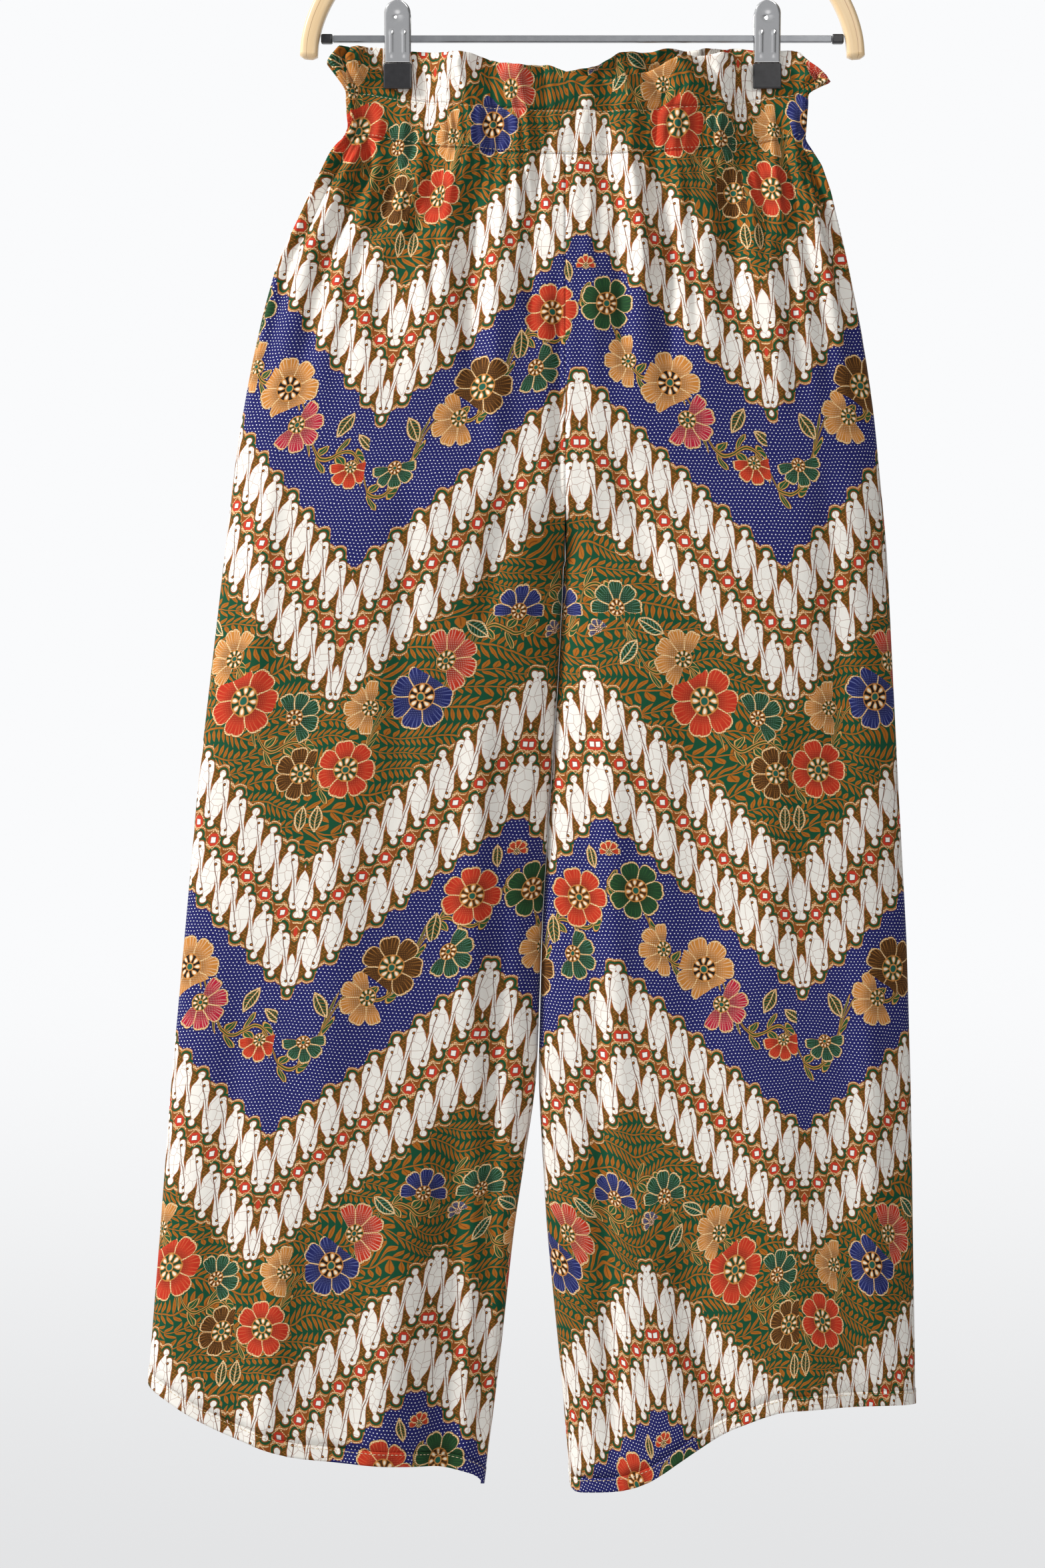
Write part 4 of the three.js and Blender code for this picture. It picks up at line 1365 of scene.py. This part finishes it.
def curve_through(points, count):
    """A smooth curve through points of the hanger's plane, spaced evenly along its length."""
    points = np.array(points, float)
    ends = np.vstack([2 * points[0] - points[1], points, 2 * points[-1] - points[-2]])
    knots = np.concatenate([[0], np.cumsum(np.linalg.norm(np.diff(ends, axis=0), axis=1) ** 0.5)])
    runs = []
    for i in range(len(points) - 1):
        p, k = ends[i:i + 4], knots[i:i + 4]
        at = np.linspace(k[1], k[2], KNOT_STEPS)[:, None]
        a = [(p[j] * (k[j + 1] - at) + p[j + 1] * (at - k[j])) / (k[j + 1] - k[j]) for j in range(3)]
        b = [(a[j] * (k[j + 2] - at) + a[j + 1] * (at - k[j])) / (k[j + 2] - k[j]) for j in range(2)]
        runs.append((b[0] * (k[2] - at) + b[1] * (at - k[1])) / (k[2] - k[1]))
    fine = np.vstack(runs)
    gone = run_lengths(fine)
    even = np.linspace(0, gone[-1], count)
    return np.stack([np.interp(even, gone, fine[:, axis]) for axis in (0, 1)], axis=1)


def rounded_outline(width, depth, power, count):
    """A closed outline between a rectangle and an ellipse."""
    turn = np.linspace(0, 2 * math.pi, count + 1)
    a = np.sign(np.cos(turn)) * abs(np.cos(turn)) ** (2 / power) * width / 2
    b = np.sign(np.sin(turn)) * abs(np.sin(turn)) ** (2 / power) * depth / 2
    return np.stack([a, b], axis=1)


def tube(name, path, outline, end_round):
    """A closed outline carried along a path in X and Z, with its ends drawn in and closed."""
    gone = run_lengths(path)
    ahead = np.gradient(path, axis=0)
    ahead = ahead / np.linalg.norm(ahead, axis=1)[:, None]
    to_end = np.minimum(gone, gone[-1] - gone) / end_round
    swell = np.sqrt(np.clip(1 - (1 - np.clip(to_end, 0, 1)) ** 2, 0.25, 1))
    form = bmesh.new()
    around, steps = len(outline) - 1, len(path) - 1
    bmesh.ops.create_grid(form, x_segments=around, y_segments=steps, size=0.5)
    grain = form.loops.layers.uv.new("grain")
    column = [round((vert.co.x + 0.5) * around) for vert in form.verts]
    row = [round((vert.co.y + 0.5) * steps) for vert in form.verts]
    for vert, i, j in zip(form.verts, column, row):
        a, b = outline[i] * swell[j]
        x, z = path[j] + a * np.array([-ahead[j][1], ahead[j][0]])
        vert.co = Vector((x, b, z)) * MM
    for face in form.faces:
        face.smooth = True
        for loop in face.loops:
            at = loop.vert.index
            loop[grain].uv = (gone[row[at]] * MM, outline[column[at]][0] * MM)
    bmesh.ops.remove_doubles(form, verts=form.verts[:], dist=0.02 * MM)
    rims = [edge for edge in form.edges if edge.is_boundary]
    bmesh.ops.holes_fill(form, edges=rims, sides=0)
    bmesh.ops.recalc_face_normals(form, faces=form.faces[:])
    return new_piece(name, form, smooth=False)


half_bow = [(HALF_HANGER + in_from_end, z) for in_from_end, z in BOW_HALF]
bow_line = [(-x, z) for x, z in half_bow] + [(0, WOOD_TOP_Z - WOOD_WIDTH / 2)] + half_bow[::-1]
bow_outline = rounded_outline(WOOD_WIDTH, WOOD_DEPTH, WOOD_SQUARENESS, 40)
bow = tube("wooden_bow", curve_through(bow_line, 260), bow_outline, WOOD_END_ROUND)

ring = HOOK_INSIDE + HOOK_WIRE / 2
hook_line = [(0, WOOD_TOP_Z + SEAM_GAP), (0, -66), (0, -54)]
hook_line += [(ring * math.cos(turn), -HOOK_INSIDE + ring * math.sin(turn))
              for turn in np.radians(np.linspace(*HOOK_TURN, 16))]
hook = tube("hook_wire", curve_through(hook_line, 200), rounded_outline(HOOK_WIRE, HOOK_WIRE, 2, 16),
            HOOK_END_ROUND)
for piece in (bow, hook):
    print(piece.name, [round(size / MM) for size in piece.dimensions], "mm")

# %% [markdown]
# ## Bar, caps and clips
# A square steel bar joins the ends of the bow, with a rubber cap on each end. Two clips slide on it. Each has
# two pressed plates with round tops, stiffened by two ribs and a dimple, and glossy rubber jaws that hold the
# cloth. The plates are grids pressed by formula, then given their thickness.

# %% Bar, caps and clips
BAR_Z = -195
BAR_SIDE = 4.6
BAR_HALF_LENGTH = 174.8
BAR_CORNER = 0.5
CAP_LENGTH = 8.2
CAP_SIDE = 6.6
CLIP_HALF_WIDTH = 9
CLIP_HEIGHT = 43
CLIP_PLATE = 0.9
CLIP_TILT = 0.16
CLIP_LIFT = SEAM_GAP + 0.2
RIB_X, RIB_WIDTH, RIB_TOP, RIB_FADE, RIB_OUT = 4.4, 1.2, 23, 3, 0.7
DIMPLE_UP, DIMPLE_WIDTH, DIMPLE_IN = 33, 2.6, 0.9
RIM_SHARE, RIM_IN = 0.2, 0.7
PAD_TOP_Z = -212.6
PAD_SIZE = (20, 3, 18)
PAD_INSIDE = 2.2
RUBBER_CORNER = 1.2
PLATE_COLUMNS = 32
PLATE_ROWS = 72
PLATE_OFF_PAD = 0.4
PLATE_CROWDING = 1.6
PLATE_TOP_HALF = 0.4
PLATE_WALL = 0.8 * CLIP_PLATE
SLEEVE_RADIUS = 4.3
SLEEVE_LENGTH = 12
SLEEVE_WALL = 1.3
FLAT_FACE = 2e-6
hardware = {}


def block(name, size, centre, corner):
    """A box with rounded edges, in millimetres."""
    form = bmesh.new()
    bmesh.ops.create_cube(form, size=1)
    bmesh.ops.scale(form, verts=form.verts, vec=Vector(size) * MM)
    bmesh.ops.bevel(form, geom=form.edges[:], offset=corner * MM, segments=4, profile=0.5,
                    affect="EDGES", material=-1, clamp_overlap=True)
    bmesh.ops.translate(form, verts=form.verts, vec=Vector(centre) * MM)
    bmesh.ops.recalc_face_normals(form, faces=form.faces[:])
    for face in form.faces:
        face.smooth = face.calc_area() < FLAT_FACE
    return new_piece(name, form, smooth=False)


def bump_at(distance, width):
    return math.exp(-(distance / width) ** 2)


def pressed_plate(name, centre_x, way):
    """One plate of a clip, from its foot on the cloth to its round top."""
    form = bmesh.new()
    bmesh.ops.create_grid(form, x_segments=PLATE_COLUMNS, y_segments=PLATE_ROWS, size=0.5)
    foot = PAD_INSIDE + PLATE_OFF_PAD + CLIP_PLATE / 2
    for vert in form.verts:
        up = CLIP_HEIGHT * (1 - (0.5 - vert.co.y) ** PLATE_CROWDING)
        top = max(0, up - (CLIP_HEIGHT - CLIP_HALF_WIDTH))
        half = max(PLATE_TOP_HALF, math.sqrt(max(0, CLIP_HALF_WIDTH ** 2 - top * top)))
        x = 2 * vert.co.x * half
        ribs = bump_at(abs(x) - RIB_X, RIB_WIDTH)
        ribs = ribs * min(1, max(0, up - RIB_FADE) / RIB_FADE) * min(1, max(0, RIB_TOP - up) / RIB_FADE)
        dimple = bump_at(math.hypot(x, up - DIMPLE_UP), DIMPLE_WIDTH)
        rolled = max(0, abs(2 * vert.co.x) - (1 - RIM_SHARE)) / RIM_SHARE
        out = RIB_OUT * ribs - DIMPLE_IN * dimple - RIM_IN * rolled * rolled
        y = way * (foot + up * math.sin(CLIP_TILT) + out * math.cos(CLIP_TILT))
        z = PAD_TOP_Z + CLIP_LIFT + up * math.cos(CLIP_TILT)
        vert.co = Vector((x + centre_x, y, z)) * MM
    face_towards(form, way)
    return give_wall(new_piece(name, form), PLATE_WALL)


def clip_sleeve(name, centre_x):
    """The short tube by which a clip slides on the bar."""
    form = bmesh.new()
    place = Matrix.Translation((centre_x * MM, 0, BAR_Z * MM)) @ Matrix.Rotation(math.pi / 2, 4, "Y")
    bmesh.ops.create_cone(form, cap_ends=False, segments=40, radius1=SLEEVE_RADIUS * MM,
                          radius2=SLEEVE_RADIUS * MM, depth=SLEEVE_LENGTH * MM, matrix=place)
    return give_wall(new_piece(name, form), SLEEVE_WALL)


bar_size = (2 * BAR_HALF_LENGTH, BAR_SIDE, BAR_SIDE)
hardware["hanger_bar"] = block("steel_bar", bar_size, (0, 0, BAR_Z), BAR_CORNER)
for side, sign in (("left", -1), ("right", 1)):
    cap_centre = (sign * (BAR_HALF_LENGTH + SEAM_GAP + CAP_LENGTH / 2), 0, BAR_Z)
    cap_size = (CAP_LENGTH, CAP_SIDE, CAP_SIDE)
    hardware["bar_cap_" + side] = block(side + "_bar_cap", cap_size, cap_centre, RUBBER_CORNER)
    centre_x = sign * CLIP_X
    for face in FACES:
        way = front_sign(face)
        clip, label = "clip_" + side + "_" + face, side + "_clip_" + face
        hardware[clip + "_plate"] = pressed_plate(label + "_plate", centre_x, way)
        middle = (centre_x, way * (PAD_INSIDE + PAD_SIZE[1] / 2), PAD_TOP_Z - PAD_SIZE[2] / 2)
        hardware[clip + "_pad"] = block(label + "_jaw", PAD_SIZE, middle, RUBBER_CORNER)
    hardware["clip_" + side + "_sleeve"] = clip_sleeve(side + "_clip_sleeve", centre_x)
print("pieces of hardware", len(hardware))

# %% [markdown]
# ## Wood, steel and rubber
# The grain follows the bow because it is drawn along the bow's own UV map, and a brown glue line runs down
# its face. Plating is mirror bright on the clips and the hook, brushed and greyer on the bar.

# %% Hanger finishes
GLUE_LINE = 1.6


def birch_wood():
    material, shader = new_material("birch")
    along, across, _ = parts(field("ShaderNodeUVMap", uv_map="grain"))
    fibre = noise(vector(along * 18, across * 900), 1, 4)
    cloud = noise(vector(along * 12, across * 120), 1)
    colour = paint(
        ink("E3C79C"),
        ("C79E68", (fibre - 0.35) * 0.9),
        ("F0DCBA", (cloud - 0.45) * 1.2),
        ("8A5A2E", within(abs(across * 1000 - GLUE_LINE), 0.18, 0.2) * 0.8),
    )
    feed(shader, {
        "Base Color": colour,
        "Roughness": fibre * 0.15 + 0.32,
        "Coat Weight": 0.25,
        "Normal": bumps(fibre, 0.2, FINE_BUMP),
    })
    return material


bright_steel = mottled_material("bright_steel", ((0.95, 0.95, 0.96), (0.88, 0.89, 0.90)), 60, 0.12, 0.02, 1.0)
dull_steel = mottled_material("brushed_steel", ((0.34, 0.35, 0.37), (0.24, 0.25, 0.27)), 220, 0.38, 0.1, 1.0)
rubber = mottled_material("black_rubber", ((0.012, 0.012, 0.014), (0.03, 0.03, 0.034)), 300, 0.25, 0.1)


def fit_out(piece, node, finish):
    piece.data.materials.append(finish)
    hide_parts(node)


for node, piece in hardware.items():
    if "cap" in node or "pad" in node:
        fit_out(piece, node, rubber)
    else:
        fit_out(piece, node, dull_steel if node == "hanger_bar" else bright_steel)
fit_out(bow, "hanger_wood", birch_wood())
fit_out(hook, "hook", bright_steel)
print("finishes", len(bpy.data.materials))

# %% [markdown]
# ## The body and the hidden solids
# Every piece rides on the one body, and the solids under the sheets are hidden. The flat cut of each sheet is
# worked out again, but nothing uses it. The elastic draws up the waist strips, and the rest hangs from them.

# %% Rides and sheets
NARROWEST = 0.0101

for piece in [*pieces.values(), *threads.values(), *hardware.values(), bow, hook]:
    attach(piece, "root")
for face in FACES:
    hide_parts("casing_" + face)
    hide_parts("ruffle_" + face)
    for side in SIDES:
        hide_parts(face + "_" + side)
        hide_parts("hem_" + face + "_" + side)
for side in SIDES:
    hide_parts("pocket_facing_" + side)


def declare(name):
    """Work out a sheet's flat cut, taking a strip that shows too narrowly at the least width. Nothing keeps
    the result.
    """
    width, drop, area = cuts[name]
    width = max(width, NARROWEST)
    min(area, width * drop)


for face in FACES:
    casing = face + "_elastic_casing"
    declare(face + "_waist_ruffle")
    declare(casing)
    for side in SIDES:
        panel = face + "_" + side + "_panel"
        declare(panel)
        declare(face + "_" + side + "_hem")
for side in SIDES:
    panel = pieces["front_" + side + "_panel"]
    declare(side + "_pocket_facing")

# %% [markdown]
# ## The cloth's area
# The areas of all the cloth sheets are added up and printed.

# %% Sizes and the end
print("cloth shows", round(sum(area for _, _, area in cuts.values()), 3), "square metres")
